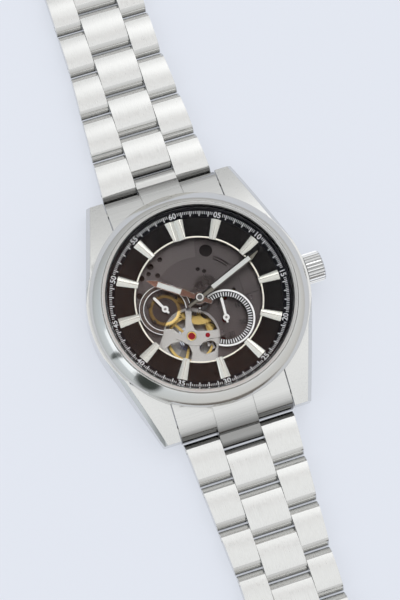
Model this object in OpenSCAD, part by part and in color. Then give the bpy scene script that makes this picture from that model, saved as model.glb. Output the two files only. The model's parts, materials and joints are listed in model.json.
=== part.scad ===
// Skeleton wristwatch on a three-column steel bracelet, lying open on its back.
// Millimetres. Origin: centre of the case back's outer face, on the axis of the hands.
// +X points to the crown at three o'clock, +Y to twelve o'clock, +Z out through the crystal.

/* [Case] */
// Case width across nine and three o'clock
case_w = 41.4; // [41:0.1:42.4]
// How far the lugs reach past the case's circle
lug_reach = 2.8; // [2.5:0.1:3.5]
// Gap between the lugs, the width of the bracelet at the case
lug_gap = 22; // [21.4:0.2:22.4]
// Width of one lug at its tip
lug_tip_w = 3.2; // [2.8:0.1:3.6]
// Radius of the curve that the lug tops follow
lug_top_r = 60; // [57:1:66]
// Crest of that curve above the case's top
crest_rise = 0.9; // [0.8:0.05:1.1]
// Polished bevel along the lug edges
lug_bevel = 0.7; // [0.4:0.1:0.9]
// Step from the case's edge in to the bezel
bezel_step = 0.5; // [0.3:0.05:0.7]
// Opening in the bezel, the crystal's diameter
crystal_d = 34.4; // [34.2:0.1:34.6]
// Thickness of the crystal
crystal_t = 1.3; // [1:0.1:1.5]
// Thickness of the case back's flange
back_t = 1; // [0.9:0.05:1.2]
// Window in the case back
back_window_d = 23; // [21:0.5:23.5]

/* [Crown] */
// Diameter of the crown
crown_d = 5.7; // [5:0.1:6]
// Length of the crown
crown_len = 3.3; // [3:0.1:3.8]
// Number of flutes on the crown
crown_flutes = 26; // [18:1:30]

/* [Dial] */
// Diameter of the opening that shows the movement
aperture_d = 23.6; // [23:0.1:24]
// Width of the pale rim around that opening
rim_w = 0.32; // [0.25:0.01:0.4]
// Length of an hour index
index_len = 4; // [3.6:0.1:4.2]
// Width of an hour index at its outer end
index_w = 1.9; // [1.5:0.1:2]
// Width of the double index at twelve
index12_w = 3.5; // [3:0.1:3.8]
// Outer radius of the small seconds track
seconds_track_r = 5.35; // [5:0.05:5.4]
// Outer radius of the 24-hour track
day_track_r = 4.75; // [4.4:0.05:4.8]
// Radius of the open heart around the balance
heart_r = 5.2; // [4.95:0.05:5.4]

/* [Hands] */
// Time shown, in hours after midnight
shown_time = 22.19; // [0:0.01:24]
// Length of the hour hand
hour_len = 10.2; // [9.4:0.1:10.8]
// Length of the minute hand
minute_len = 13.9; // [13.2:0.1:14.6]
// Length of the small seconds hand
seconds_len = 3.9; // [3.4:0.1:4]
// Length of the 24-hour hand
day_len = 3.1; // [2.8:0.1:3.5]

/* [Movement] */
// Diameter of the movement
movement_d = 26; // [26:0.1:26.2]
// Thickness of the main plate
plate_t = 1; // [0.9:0.05:1.2]
// Height of the train between bridge and plate
train_h = 1.9; // [1.9:0.05:2.2]
// Thickness of the train bridge
bridge_t = 0.55; // [0.5:0.05:0.7]
// Distance of the fourth wheel from the centre
fourth_dist = 6; // [5.9:0.05:6.1]
// Direction of the fourth wheel
fourth_dir = -53; // [-54:0.5:-52]
// Distance of the 24-hour wheel from the centre
day_dist = 6.6; // [6.5:0.05:6.7]
// Distance of the balance from the centre
balance_dist = 6.9; // [6.8:0.05:7]
// Direction of the balance
balance_dir = -119.5; // [-121:0.5:-118]
// Radius of the balance rim
balance_r = 4.4; // [4:0.1:4.45]
// Radius of the escape wheel
escape_r = 2.4; // [2.2:0.05:2.45]

/* [Bracelet] */
// Distance from pin to pin
link_pitch = 8.6; // [8.2:0.1:9.4]
// Thickness of a link
link_t = 3; // [2.8:0.1:3.2]
// Width of the middle column
centre_w = 7.8; // [7:0.1:8.4]
// Width of the first link at the case
link_w0 = 21; // [20:0.1:21.2]
// Width lost from one link to the next
link_taper = 1.05; // [0.8:0.05:1.1]
// Width of the last links and the clasp
link_w1 = 17.8; // [17:0.1:18.4]
// Gap between two links
link_gap = 0.15; // [0.12:0.01:0.2]
// Radius of a link pin
pin_r = 0.55; // [0.5:0.01:0.6]
// Radial play of a link on its pin
pin_play = 0.04; // [0.02:0.01:0.06]
// Angle at which two links stop against each other
stop_angle = 25; // [22:1:28]
// Length of the clasp cover
clasp_len = 34; // [30:0.5:38]

/* [Hidden] */
$fn = 64;
// Small gap between two fixed pieces that slip together
slip = 0.02;
// Overlength of a cutting tool
past = 1;
// Far length for a tool that cuts everything on its way
far = 60;
// Radial play of an arbor in its jewel
pivot_play = 0.03;

// Heights, from the case back upwards
rotor_space = 1.75;
z_bridge = back_t + rotor_space;
z_train = z_bridge + bridge_t;
z_plate = z_train + train_h;
z_motion = z_plate + plate_t;
motion_h = 0.95;
smoke_t = 0.23;
dial_t = 0.3;
z_smoke = z_motion + motion_h;
z_dial = z_smoke + smoke_t;
z_face = z_dial + dial_t;
face_depth = 0.32;
glass_rise = 1.72;
lip_rise = 2.8;
z_case = z_face + face_depth;
z_crystal = z_case + glass_rise;
z_lip = z_case + lip_rise;
hand_rise = 0.17;
hand_step = 0.5;
z_small_hand = z_face + hand_rise;
z_hour_hand = z_small_hand + hand_step;
z_minute_hand = z_hour_hand + hand_step;
hand_t = 0.2;
stem_drop = 0.45;
z_stem = z_plate - stem_drop;

// Radii, with the widths and steps between them
body_step = 0.05;
wall_step = 0.6;
dial_step = 0.15;
shelf_step = 0.1;
track_w = 1.4;
holder_w = 2.4;
spigot_w = 0.75;
flange_w = 1.2;
glass_lap = 0.45;
rotor_step = 0.7;
rotor_gap = 0.35;
case_r = case_w / 2;
bezel_r = case_r - bezel_step;
body_r = bezel_r - body_step;
wall_r = bezel_r - wall_step;
crystal_r = crystal_d / 2;
movement_r = movement_d / 2;
holder_r = movement_r + holder_w;
dial_r = crystal_r - dial_step;
shelf_r = dial_r - shelf_step;
chapter_r = shelf_r - shelf_step;
track_in_r = chapter_r - track_w;
aperture_r = aperture_d / 2;
spigot_r = holder_r + spigot_w;
flange_r = spigot_r + flange_w;
back_glass_r = back_window_d / 2 + glass_lap;
back_glass_t = 0.9;
back_lip_t = 0.35;
spigot_h = 1.2;
rotor_r = movement_r - rotor_step;

// Lugs and end links
tip_x = lug_gap / 2 + lug_tip_w;
tip_y = case_r + lug_reach;
flank_dir = atan2(tip_y, tip_x) - acos(case_r / norm([tip_x, tip_y]));
crest_z = z_case + crest_rise;
z_arc = crest_z - lug_top_r;
nose_r = link_t / 2;
reach = nose_r + link_gap;
end_front = tip_y + 0.15;
end_pin_y = end_front + reach;
bar_y = tip_y - 2.3;
bar_z = back_t + 1.7;
bar_r = 0.85;
bar_tip_r = 0.45;
bar_tip_len = 1.2;
end_foot = back_t - 0.1;
end_roll = 2.6;
nose_roll = 4.2;
end_gap = 0.2;
end_w = lug_gap - 2 * end_gap;

// Train: wheel teeth, pinion leaves and modules
barrel_z = 84;
centre_pinion_z = 12;
centre_z = 80;
third_pinion_z = 10;
third_z = 75;
fourth_pinion_z = 10;
fourth_z = 84;
escape_pinion_z = 7;
escape_z = 15;
barrel_m = 0.13;
centre_m = 0.105;
third_m = 0.1;
fourth_m = 0.0857;
cannon_z = 12;
minute_z = 36;
minute_pinion_z = 10;
hour_z = 40;
hour_pinion_z = 24;
idler_z = 24;
day_z = 48;
minute_m = 0.125;
hour_m = 0.12;
day_m = 0.12;

// Train: distances and places
function at(r, a) = [r * cos(a), r * sin(a)];
function span(m, a, b) = m * (a + b) / 2;
function dir(p) = atan2(p[1], p[0]);
// The angle at a triangle's corner between the sides a and b, opposite the side c
function corner(a, b, c) = acos((a * a + b * b - c * c) / (2 * a * b));
third_dist = span(centre_m, centre_z, third_pinion_z);
third_fourth = span(third_m, third_z, fourth_pinion_z);
fourth_escape = span(fourth_m, fourth_z, escape_pinion_z);
barrel_dist = span(barrel_m, barrel_z, centre_pinion_z);
minute_dist = span(minute_m, cannon_z, minute_z);
idler_dist = span(day_m, hour_pinion_z, idler_z);
idler_day = span(day_m, idler_z, day_z);
barrel_dir = 115;
minute_dir = 45;
pallet_dist = 2.95;
pallet_dir = -13;
pallet_escape = 2.95;
fourth_p = at(fourth_dist, fourth_dir);
third_dir = fourth_dir + corner(third_dist, fourth_dist, third_fourth);
third_p = at(third_dist, third_dir);
balance_p = at(balance_dist, balance_dir);
pallet_p = balance_p + at(pallet_dist, pallet_dir);
pallet_fourth = norm(fourth_p - pallet_p);
escape_dir = dir(fourth_p - pallet_p) - corner(pallet_escape, pallet_fourth, fourth_escape);
escape_p = pallet_p + at(pallet_escape, escape_dir);
barrel_p = at(barrel_dist, barrel_dir);
minute_p = at(minute_dist, minute_dir);
idler_dir = 180 - corner(idler_dist, day_dist, idler_day);
idler_p = at(idler_dist, idler_dir);
day_p = [-day_dist, 0];

// Turn that puts a tooth of the second wheel into a gap of the first, d is the way to the second
function mesh(d, turn, z1, z2) = d + 180 - (turn - d) * z1 / z2 + 180 / z2;

// Arbors
centre_arbor_r = 0.25;
cannon_r = 0.5;
hour_bore_r = cannon_r + 0.04;
hour_pipe_r = 0.78;
arbor_r = 0.22;
post_r = 0.25;
jewel_r = 0.6;
jewel_t = 0.3;
barrel_arbor_r = 0.8;
balance_boss_r = 1.25;

// Angles of the hands, clockwise from twelve
minute_turn = 360 * (shown_time % 1);
hour_turn = 30 * shown_time;
day_turn = 15 * shown_time;
seconds_turn = 4;

// A wheel's outline with z teeth of module m, one tooth on +X
function teeth(z, m) = [for (i = [0 : z - 1], k = [[-0.3, -1.25], [-0.12, 0.95], [0.12, 0.95], [0.3, -1.25]])
  at(m * (z / 2 + k[1]), 360 / z * (i + k[0]))];

module wheel(z, m, h, spokes = 0) {
  r = m * z / 2;
  linear_extrude(h) difference() {
    polygon(teeth(z, m));
    if (spokes > 0)
      for (i = [0 : spokes - 1])
        rotate(360 / spokes * i)
          translate([r * 0.58, 0])
            circle(r * 0.27);
  }
}

module rod(r, z0, z1) {
  translate([0, 0, z0]) cylinder(r = r, h = z1 - z0);
}

module tube(r1, r0, z0, z1) {
  difference() {
    rod(r1, z0, z1);
    rod(r0, z0 - past, z1 + past);
  }
}

module along_x(r, x0, x1) {
  translate([x0, 0, 0]) rotate([0, 90, 0]) cylinder(r = r, h = x1 - x0);
}

module lug_curve(r) {
  translate([0, 0, z_arc]) rotate([0, 90, 0]) cylinder(r = r, h = 3 * far, center = true);
}

// Keeps what lies below the bevel of one lug's flank
module flank_keep(side, turn) {
  bevel_r = lug_top_r * sqrt(2) / pow(cos(flank_dir), 2);
  translate([side * case_r / cos(flank_dir), 0, crest_z - lug_bevel])
    rotate([0, 0, turn])
      rotate([0, 45, 0])
        translate([0, 0, -bevel_r])
          rotate([0, 90, 0])
            cylinder(r = bevel_r, h = 6 * far, center = true);
}

module case_outline() {
  tangent = at(case_r, flank_dir);
  circle(case_r);
  polygon([tangent, [tip_x, tip_y], [-tip_x, tip_y], [-tangent[0], tangent[1]],
    -tangent, [-tip_x, -tip_y], [tip_x, -tip_y], [tangent[0], -tangent[1]]]);
}

module lug_slot(side) {
  slot = lug_gap / 2;
  difference() {
    translate([-slot, side > 0 ? 0 : -far, 0]) cube([2 * slot, far, far]);
    translate([0, 0, -past]) cylinder(r = wall_r, h = far + 2 * past);
  }
}

module mid_case() {
  color("silver")
    difference() {
      union() {
        intersection() {
          translate([0, 0, back_t]) linear_extrude(z_case - back_t) case_outline();
          lug_curve(lug_top_r);
          flank_keep(1, flank_dir);
          flank_keep(1, -flank_dir);
          flank_keep(-1, 180 - flank_dir);
          flank_keep(-1, 180 + flank_dir);
        }
        rod(body_r, back_t, z_case);
      }
      lug_slot(1);
      lug_slot(-1);
      rod(holder_r + slip, 0, z_case);
      rod(spigot_r + slip, 0, back_t + spigot_h + slip);
      rod(dial_r + slip, z_dial, z_case + past);
      translate([0, 0, z_stem]) along_x(tube_r + slip, 0, far);
      for (side = [-1, 1])
        translate([0, side * bar_y, bar_z])
          along_x(bar_tip_r + slip, -lug_gap / 2 - bar_tip_len, lug_gap / 2 + bar_tip_len);
    }
}

// Convex face between a bezel's outer edge p and inner edge q
module bulge(p, q, r) {
  mid = (p + q) / 2;
  half = norm(q - p) / 2;
  out = [p[1] - q[1], q[0] - p[0]] / (-2 * half);
  intersection() {
    translate(mid - out * sqrt(r * r - half * half)) circle(r);
    polygon([p, p + out * half, q + out * half, q]);
  }
}

module bezel() {
  side_h = 0.6;
  crest_h = 2.5;
  crest_w = 0.9;
  lip_w = 0.7;
  dome_r = 8.4;
  foot_bevel = 0.15;
  lip_bevel = 0.1;
  groove_d = 0.2;
  edge = [bezel_r, z_case + side_h];
  crest = [crystal_r + crest_w, z_case + crest_h];
  groove_z = crest[1] - groove_d;
  lip_r = crystal_r + lip_w;
  seat_r = crystal_r + slip;
  color("gainsboro")
    rotate_extrude() {
      polygon([[shelf_r, z_case], [bezel_r - foot_bevel, z_case], [bezel_r, z_case + foot_bevel], edge, crest,
        [lip_r + lip_bevel, crest[1]], [lip_r + lip_bevel, groove_z], [lip_r, groove_z],
        [lip_r, z_lip - lip_bevel], [lip_r - lip_bevel, z_lip], [seat_r + lip_bevel, z_lip],
        [seat_r, z_lip - lip_bevel], [seat_r, z_crystal], [shelf_r, z_crystal]]);
      bulge(edge, crest, dome_r);
    }
}

module crystal() {
  bevel = 0.2;
  top = z_crystal + crystal_t;
  color("lightcyan", 0.3)
    rotate_extrude()
      polygon([[0, z_crystal], [crystal_r, z_crystal], [crystal_r, top - bevel], [crystal_r - bevel, top],
        [0, top]]);
}

module chapter_ring() {
  wall = 0.18;
  inner_h = 0.25;
  outer_h = 0.8;
  glass_gap = 0.05;
  top = z_crystal - glass_gap;
  color("black")
    rotate_extrude()
      polygon([[track_in_r, z_face], [chapter_r, z_face], [chapter_r, top], [chapter_r - wall, top],
        [chapter_r - wall, z_face + outer_h], [track_in_r, z_face + inner_h]]);
}

module dial() {
  color("#141414") tube(dial_r, aperture_r + rim_w / 2, z_dial, z_face);
}

module aperture_rim() {
  color("wheat") tube(aperture_r + rim_w / 2 - slip, aperture_r - rim_w / 2, z_dial, z_face);
}

// One faceted index along +Y, w wide at its outer end, with one or two ridges
module index(w, ridges) {
  foot = 0.12;
  crown_z = 0.42;
  outer = sqrt(pow(track_in_r - slip, 2) - w * w / 4);
  inner = track_in_r - index_len;
  taper = 0.66;
  flat = 0.14;
  pitch = w / ridges;
  intersection() {
    translate([0, 0, z_face])
      linear_extrude(crown_z)
        polygon([[-w / 2, outer], [w / 2, outer], [w * taper / 2, inner],
          [-w * taper / 2, inner]]);
    translate([0, outer, z_face])
      rotate([90, 0, 0])
        linear_extrude(outer - inner)
          for (i = [0 : ridges - 1])
            translate([(i + 0.5 - ridges / 2) * pitch, 0])
              polygon([[-pitch / 2, 0], [pitch / 2, 0], [pitch / 2, foot], [pitch * flat, crown_z],
                [-pitch * flat, crown_z], [-pitch / 2, foot]]);
  }
}

module hour_indices() {
  color("whitesmoke") {
    index(index12_w, 2);
    for (hour = [1 : 11])
      rotate(-30 * hour) index(index_w, 1);
  }
}

// The heart-shaped cut around the balance, out to the rim
module heart_2d() {
  throat = heart_r - 0.15;
  mouth = heart_r + 1.5;
  translate(balance_p) {
    circle(heart_r);
    rotate(balance_dir)
      polygon([[0, -throat], [movement_r, -mouth], [movement_r, mouth], [0, throat]]);
  }
}

module smoked_dial() {
  color("dimgray", 0.5)
    translate([0, 0, z_smoke])
      linear_extrude(smoke_t)
        difference() {
          circle(movement_r + 0.8);
          heart_2d();
          circle(hour_pipe_r + 0.3);
          translate(day_p) circle(arbor_r + 0.2);
          translate(fourth_p) circle(arbor_r + 0.2);
        }
}

// A printed ring on the smoked dial, with a raised edge of its own
module track(p, r1, r0, edge_w) {
  band_t = 0.1;
  edge_t = 0.17;
  difference() {
    translate([p[0], p[1], z_dial]) {
      tube(r1 - edge_w / 2, r0, 0, band_t);
      tube(r1, r1 - edge_w, 0, edge_t);
    }
    translate([0, 0, z_dial - past])
      linear_extrude(2 * past + edge_t) {
        heart_2d();
        circle(hour_pipe_r + 0.8);
      }
  }
}

module seconds_track() {
  color("#202024") track(fourth_p, seconds_track_r, seconds_track_r - 1.35, 0.4);
}

module day_track() {
  color("#4a3a30") track(day_p, day_track_r, day_track_r - 0.9, 0.12);
}

window_r = 4.95;
slot_half = 1.15;
slot_x = movement_r - 4;
// Holes through the main plate, radius and place
plate_holes = [[0.45, [-4.43, 9.57]], [0.6, [-6.53, 8.82]], [0.4, [-7.25, 7.61]], [0.5, [-8.69, 7.15]],
  [0.45, [-5.74, 6.82]], [0.35, [6.83, 0.12]], [0.45, [-11.3, -4.2]], [0.45, [4.2, -10.9]]];
// Round pockets in its dial side, radius and place
plate_pockets = [[1.2, [4.2, 8.7]], [0.4, [1.67, 5.78]], [0.4, [2.68, 5.08]], [0.6, [-10.1, 4.1]]];
pocket_d = 0.35;
// Sunk ring at the upper left, from one direction to the other
sunk_r0 = 8.3;
sunk_r1 = 12.2;
sunk_d = 0.22;
sunk_dirs = [76, 152];
// Two curved grooves at the upper right
plate_groove_rs = [8.4, 8.85];
plate_groove_w = 0.22;
plate_groove_dirs = [34, 54];
// Cover over the winding stem's slot, and its screw
stem_cover_x0 = 8.4;
stem_cover_y0 = -1.41;
stem_cover_y1 = 2.24;
stem_cover_t = 0.3;
stem_cover_screw = [9.23, -2.1];

// A piece of a flat ring between two directions less than half a turn apart
module arc_2d(r1, r0, dirs) {
  intersection() {
    difference() {
      circle(r1);
      circle(r0);
    }
    polygon([[0, 0], at(far, dirs[0]), at(far, (dirs[0] + dirs[1]) / 2), at(far, dirs[1])]);
  }
}

module main_plate() {
  jewel_hole = jewel_r + slip;
  dial_seat_w = 0.3;
  minute_post_h = 0.72;
  idler_post_h = 0.9;
  color("lightgray") {
    difference() {
      rod(movement_r, z_plate, z_motion);
      translate([0, 0, z_plate - past])
        linear_extrude(plate_t + 2 * past) {
          translate(balance_p) circle(window_r);
          circle(hour_pipe_r);
          for (p = [third_p, fourth_p, escape_p])
            translate(p) circle(jewel_hole);
          translate(day_p) circle(arbor_r + pivot_play);
          translate([slot_x, -slot_half]) square([far, 2 * slot_half]);
          for (h = plate_holes)
            translate(h[1]) circle(h[0]);
          translate(stem_cover_screw) circle(screw_r + slip);
        }
      translate([0, 0, z_motion - pocket_d])
        linear_extrude(past) {
          for (h = plate_pockets)
            translate(h[1]) circle(h[0]);
          for (r = plate_groove_rs)
            arc_2d(r + plate_groove_w / 2, r - plate_groove_w / 2, plate_groove_dirs);
        }
      translate([0, 0, z_motion - sunk_d])
        linear_extrude(past) arc_2d(sunk_r1, sunk_r0, sunk_dirs);
    }
    tube(movement_r, movement_r - dial_seat_w, z_motion, z_smoke);
    translate([0, 0, z_motion])
      linear_extrude(stem_cover_t)
        intersection() {
          translate([stem_cover_x0, stem_cover_y0]) square([far, stem_cover_y1 - stem_cover_y0]);
          circle(movement_r - dial_seat_w / 2);
        }
    translate(minute_p) rod(post_r, z_motion, z_motion + minute_post_h);
    translate(idler_p) rod(post_r, z_motion, z_motion + idler_post_h);
  }
}

bridge_z1 = z_motion + 0.45;
// Outlines measured from the balance: the bridge, the thinner plate below it and the one to its left
bridge_outline = [[0.33, 5.62], [1.6, 5.4], [1.4, 4.3], [0.9, 2.9], [0.82, 2], [0.95, 1.15], [1.35, 0.55],
  [3, 0.15], [4.4, -0.18], [6.2, -0.1], [6.1, -1.7], [4.66, -1.7], [3.1, -1.4], [1.9, -1.6], [1.1, -2.05],
  [0, -1.85], [-1.05, -1.3], [-1.56, -0.8], [-2.06, -0.25], [-2.95, 0.48], [-1.45, 1.12], [-0.75, 1.5],
  [-0.25, 2.9], [0.25, 4.2]];
bridge_low = [[-1.05, -1.2], [4.6, -1.6], [4.5, -2.4], [4.17, -3.22], [3.5, -4.2], [3.3, -5.4], [1.5, -5.75],
  [-1.8, -5.2], [-1.56, -4.4], [-1.2, -3.7], [-0.81, -2.97], [-0.87, -1.97]];
bridge_left = [[-1.9, 1], [-2.78, 2.34], [-4.01, 2.75], [-5.5, 3.1], [-5.75, -0.9], [-5.33, -0.72],
  [-3.99, -0.18], [-2.64, -0.2], [-1.9, -0.3]];
bridge_low_t = 0.22;
// The opening in the thinner plate
low_slot_p = [2.26, -2.8];
low_slot_r = 1.1;
low_slot_len = 1;
bridge_feet = [[0.91, 5.17], [5.58, -0.88], [-0.46, -5.23]];
foot_pad_r = 0.7;
foot_head_r = 0.42;
foot_head_t = 0.15;

module bridge_low_2d() {
  polygon(bridge_left);
  difference() {
    polygon(bridge_low);
    translate(low_slot_p) {
      for (side = [-1, 1])
        translate([side * low_slot_len / 2, 0]) circle(low_slot_r);
      translate([-low_slot_len / 2, -low_slot_r]) square([low_slot_len, 2 * low_slot_r]);
    }
  }
}

module front_balance_bridge() {
  pallet_hole = arbor_r + pivot_play;
  color("silver")
    difference() {
      union() {
        translate([balance_p[0], balance_p[1], z_motion]) {
          linear_extrude(bridge_z1 - z_motion) {
            circle(balance_boss_r);
            polygon(bridge_outline);
            translate(bridge_feet[2]) circle(foot_pad_r);
          }
          linear_extrude(bridge_low_t) bridge_low_2d();
          rod(balance_boss_r - 0.2, 0, bridge_z1 - z_motion + 0.15);
        }
        translate(pallet_p) rod(0.5, z_plate - 0.2, z_motion + slip);
      }
      translate(balance_p) rod(jewel_r + 0.3, z_motion - past, bridge_z1 + past);
      translate(pallet_p) {
        rod(pallet_hole, z_train, z_motion + 0.1);
        rod(jewel_r - 0.15, bridge_z1 - 0.15, bridge_z1 + past);
      }
      for (foot = bridge_feet)
        translate(balance_p + foot) {
          rod(screw_r + slip, z_motion - past, bridge_z1 + past);
          rod(foot_head_r + slip, bridge_z1 - foot_head_t, bridge_z1 + past);
        }
    }
}

pillar_r = 0.55;
pillar_step = 0.7;
pillar_dist = movement_r - pillar_step;
pillar_dirs = [20, 80, 170, 300];
rotor_post_r = 0.9;
screw_r = 0.25;

module train_bridge() {
  color("silver")
    difference() {
      union() {
        rod(movement_r - 0.1, z_bridge, z_train);
        for (a = pillar_dirs)
          translate(at(pillar_dist, a)) rod(pillar_r, z_bridge, z_plate);
        rod(rotor_post_r, back_t + 0.75, z_train);
        translate(barrel_p) rod(barrel_arbor_r, z_bridge, z_plate);
      }
      translate(balance_p) rod(window_r, 0, z_plate);
      for (p = [third_p, fourth_p, escape_p])
        translate(p) rod(jewel_r + slip, 0, z_plate);
      translate([balance_p[0], balance_p[1], 0])
        rotate(dir(cock_foot - balance_p))
          translate([0, -cock_foot_r - slip, 0])
            cube([far, 2 * (cock_foot_r + slip), z_train + past]);
      rod(centre_arbor_r + pivot_play, z_train - 0.4, z_train + past);
      for (a = pillar_dirs)
        translate(at(pillar_dist, a)) rod(screw_r + slip, 0, z_train + 0.6);
      rod(screw_r + slip, 0, z_bridge - 0.2);
    }
}

cock_foot = balance_p + at(5.5, -135);
cock_foot_r = 0.62;

module balance_cock() {
  reach_len = norm(cock_foot - balance_p);
  color("silver")
    difference() {
      union() {
        translate([balance_p[0], balance_p[1], z_bridge]) {
          cylinder(r = 1.3, h = 0.45);
          rotate(dir(cock_foot - balance_p))
            translate([0, -0.6, 0])
              cube([reach_len, 1.2, 0.45]);
        }
        translate(cock_foot) rod(cock_foot_r, z_bridge, z_plate);
      }
      translate(balance_p) rod(jewel_r + slip, 0, z_train);
      translate(cock_foot) rod(screw_r + slip, 0, z_train + 0.6);
    }
}

module movement_ring() {
  color("#303030")
    difference() {
      tube(holder_r, movement_r + slip, back_t + spigot_h, z_smoke);
      translate([0, 0, z_stem]) along_x(0.9, 0, far);
    }
}

module case_back() {
  notch_w = 2;
  notch_d = 1.1;
  color("silver")
    difference() {
      union() {
        rotate_extrude()
          polygon([[0, 0], [flange_r - 0.4, 0], [flange_r, 0.4], [flange_r, back_t], [0, back_t]]);
        rod(spigot_r, back_t, back_t + spigot_h);
      }
      rod(back_window_d / 2, -past, back_t + past);
      rod(back_glass_r + slip, back_lip_t, far);
      rod(rotor_r + rotor_gap, back_lip_t + back_glass_t, far);
      for (i = [0 : 5])
        rotate(60 * i + 30)
          translate([flange_r - notch_d, -notch_w / 2, -past])
            cube([far, notch_w, past + 0.5]);
      tube(flange_r - 0.25, spigot_r + 0.25, back_t - 0.3, back_t + past);
    }
}

module case_back_crystal() {
  color("lightcyan", 0.3) {
    rod(back_window_d / 2 - slip, 0, back_lip_t);
    rod(back_glass_r, back_lip_t, back_lip_t + back_glass_t);
  }
}

module case_back_gasket() {
  color("black") tube(flange_r - 0.25 - slip, spigot_r + 0.25 + slip, back_t - 0.3, back_t);
}

tube_r = 1.6;
stem_r = 0.65;
crown_gap = 0.2;
tube_out = 0.9;
crown_x = case_r + crown_gap;
tube_x1 = crown_x + tube_out;

module crown_tube() {
  color("silver")
    translate([0, 0, z_stem])
      difference() {
        along_x(tube_r, holder_r + 0.1, tube_x1);
        along_x(stem_r + 0.05, 0, far);
      }
}

// The end link's outline from the side: its top follows the lugs and then rolls down to the front
module end_side_2d(front, roll) {
  top_r = lug_top_r - 0.05;
  y0 = front - roll;
  z0 = z_arc + sqrt(pow(top_r - roll, 2) - y0 * y0);
  tangent_y = y0 * top_r / (top_r - roll);
  intersection() {
    translate([0, z_arc]) circle(top_r);
    translate([0, end_foot]) square([tangent_y, far]);
  }
  intersection() {
    translate([y0, z0]) circle(roll);
    translate([0, end_foot]) square([far, far]);
  }
  translate([0, end_foot]) square([front, max(z0 - end_foot, 0.1)]);
}

module end_link() {
  half = centre_w / 2;
  groove_w = 0.2;
  difference() {
    union() {
      rotate([90, 0, 90])
        linear_extrude(end_w, center = true)
          end_side_2d(end_front, end_roll);
      rotate([90, 0, 90])
        linear_extrude(centre_w, center = true) {
          end_side_2d(end_pin_y, nose_roll);
          translate([end_pin_y, nose_r]) circle(nose_r);
          difference() {
            translate([end_front - end_roll, 0]) square([end_pin_y - end_front + end_roll, link_t]);
            translate([0, -past]) square([end_front - 0.6, past + end_foot]);
          }
        }
    }
    translate([0, 0, -past]) cylinder(r = wall_r + 0.05, h = far);
    translate([0, bar_y, bar_z]) along_x(bar_r + slip, -far, far);
    translate([0, end_pin_y, nose_r]) along_x(pin_r + pin_play, -far, far);
    for (side = [-1, 1])
      difference() {
        translate([side * half - groove_w / 2, 0, 0]) cube([groove_w, far, far]);
        lug_curve(lug_top_r - 0.3);
      }
  }
}

module end_link_upper() {
  color("silver") end_link();
}

module end_link_lower() {
  color("silver") rotate(180) end_link();
}

module lug_spring_bars() {
  half = lug_gap / 2 - 0.1;
  color("gray")
    for (side = [-1, 1])
      translate([0, side * bar_y, bar_z]) {
        along_x(bar_r, -half, half);
        along_x(bar_tip_r, -half - bar_tip_len + 0.1, half + bar_tip_len - 0.1);
      }
}

module jewel(p, bore, z0) {
  translate(p) tube(jewel_r, bore + pivot_play, z0, z0 + jewel_t);
}

module jewels() {
  color("crimson") {
    for (p = [third_p, escape_p]) {
      jewel(p, arbor_r, z_plate);
      jewel(p, arbor_r, z_bridge + 0.1);
    }
    jewel(fourth_p, arbor_r, z_plate);
    jewel(fourth_p, arbor_r, z_bridge + 0.1);
    jewel(balance_p, arbor_r, z_bridge);
    translate(balance_p) {
      tube(jewel_r + 0.3 - slip, arbor_r + pivot_play, z_motion, z_motion + 0.25);
      rod(jewel_r, z_motion + 0.25, bridge_z1 + 0.1);
    }
    translate(pallet_p) rod(jewel_r - 0.15 - slip, bridge_z1 - 0.15, bridge_z1 + 0.02);
  }
}

// A slotted screw with the seat of its head at z = 0 and its shank going up (way 1) or down (way -1)
module screw(head_r, head_t, shank, way) {
  slot_w = 0.16;
  color("slategray")
    difference() {
      union() {
        rod(head_r, min(0, -way * head_t), max(0, -way * head_t));
        rod(screw_r, min(0, way * shank), max(0, way * shank));
      }
      translate([-past, -slot_w / 2, way > 0 ? -head_t - past : head_t / 2])
        cube([2 * past, slot_w, past + head_t / 2]);
    }
}

module movement_screws() {
  for (a = pillar_dirs)
    translate(concat(at(pillar_dist, a), z_bridge)) screw(0.5, 0.2, 1, 1);
  translate(concat(cock_foot, z_bridge)) screw(0.5, 0.2, 1, 1);
  for (foot = bridge_feet)
    translate(concat(balance_p + foot, bridge_z1 - foot_head_t))
      screw(foot_head_r, foot_head_t, bridge_z1 - foot_head_t - z_motion - slip, -1);
  translate(concat(stem_cover_screw, z_motion)) screw(0.55, 0.15, plate_t - 0.2, -1);
  translate([0, 0, back_t + 0.75]) screw(1.4, 0.15, 0.7, 1);
}

module center_wheel() {
  color("goldenrod") {
    rod(centre_arbor_r, z_train - 0.35, z_minute_hand + 0.1);
    translate([0, 0, z_train + 0.15]) wheel(centre_pinion_z, barrel_m, 0.55);
    translate([0, 0, z_train + 1.55]) wheel(centre_z, centre_m, 0.15, 5);
  }
}

module cannon_pinion() {
  color("goldenrod")
    difference() {
      union() {
        rod(cannon_r, z_motion + 0.05, z_minute_hand + hand_t + 0.15);
        translate([0, 0, z_motion + 0.05]) wheel(cannon_z, minute_m, 0.35);
      }
      rod(centre_arbor_r + slip, 0, z_minute_hand + 0.12);
    }
}

// A hand along +Y: tail, waist, blade of width w with a slot, and a point
module hand(len, w, tail, hub_r, bore_r, slot0, slot1) {
  slot_w = w - 0.34;
  linear_extrude(hand_t)
    difference() {
      union() {
        circle(hub_r);
        polygon([[-w * 0.3, -tail], [w * 0.3, -tail], [w * 0.42, slot0 - 1.1], [w / 2, slot0 - 0.5],
          [w / 2, slot1 + 0.3], [0.06, len], [-0.06, len], [-w / 2, slot1 + 0.3], [-w / 2, slot0 - 0.5],
          [-w * 0.42, slot0 - 1.1]]);
      }
      circle(bore_r);
      translate([-slot_w / 2, slot0]) square([slot_w, slot1 - slot0]);
    }
  // Luminous fill of the slot
  translate([-slot_w / 2 + slip / 2, slot0 + slip / 2, 0])
    cube([slot_w - slip, slot1 - slot0 - slip, hand_t]);
}

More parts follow.
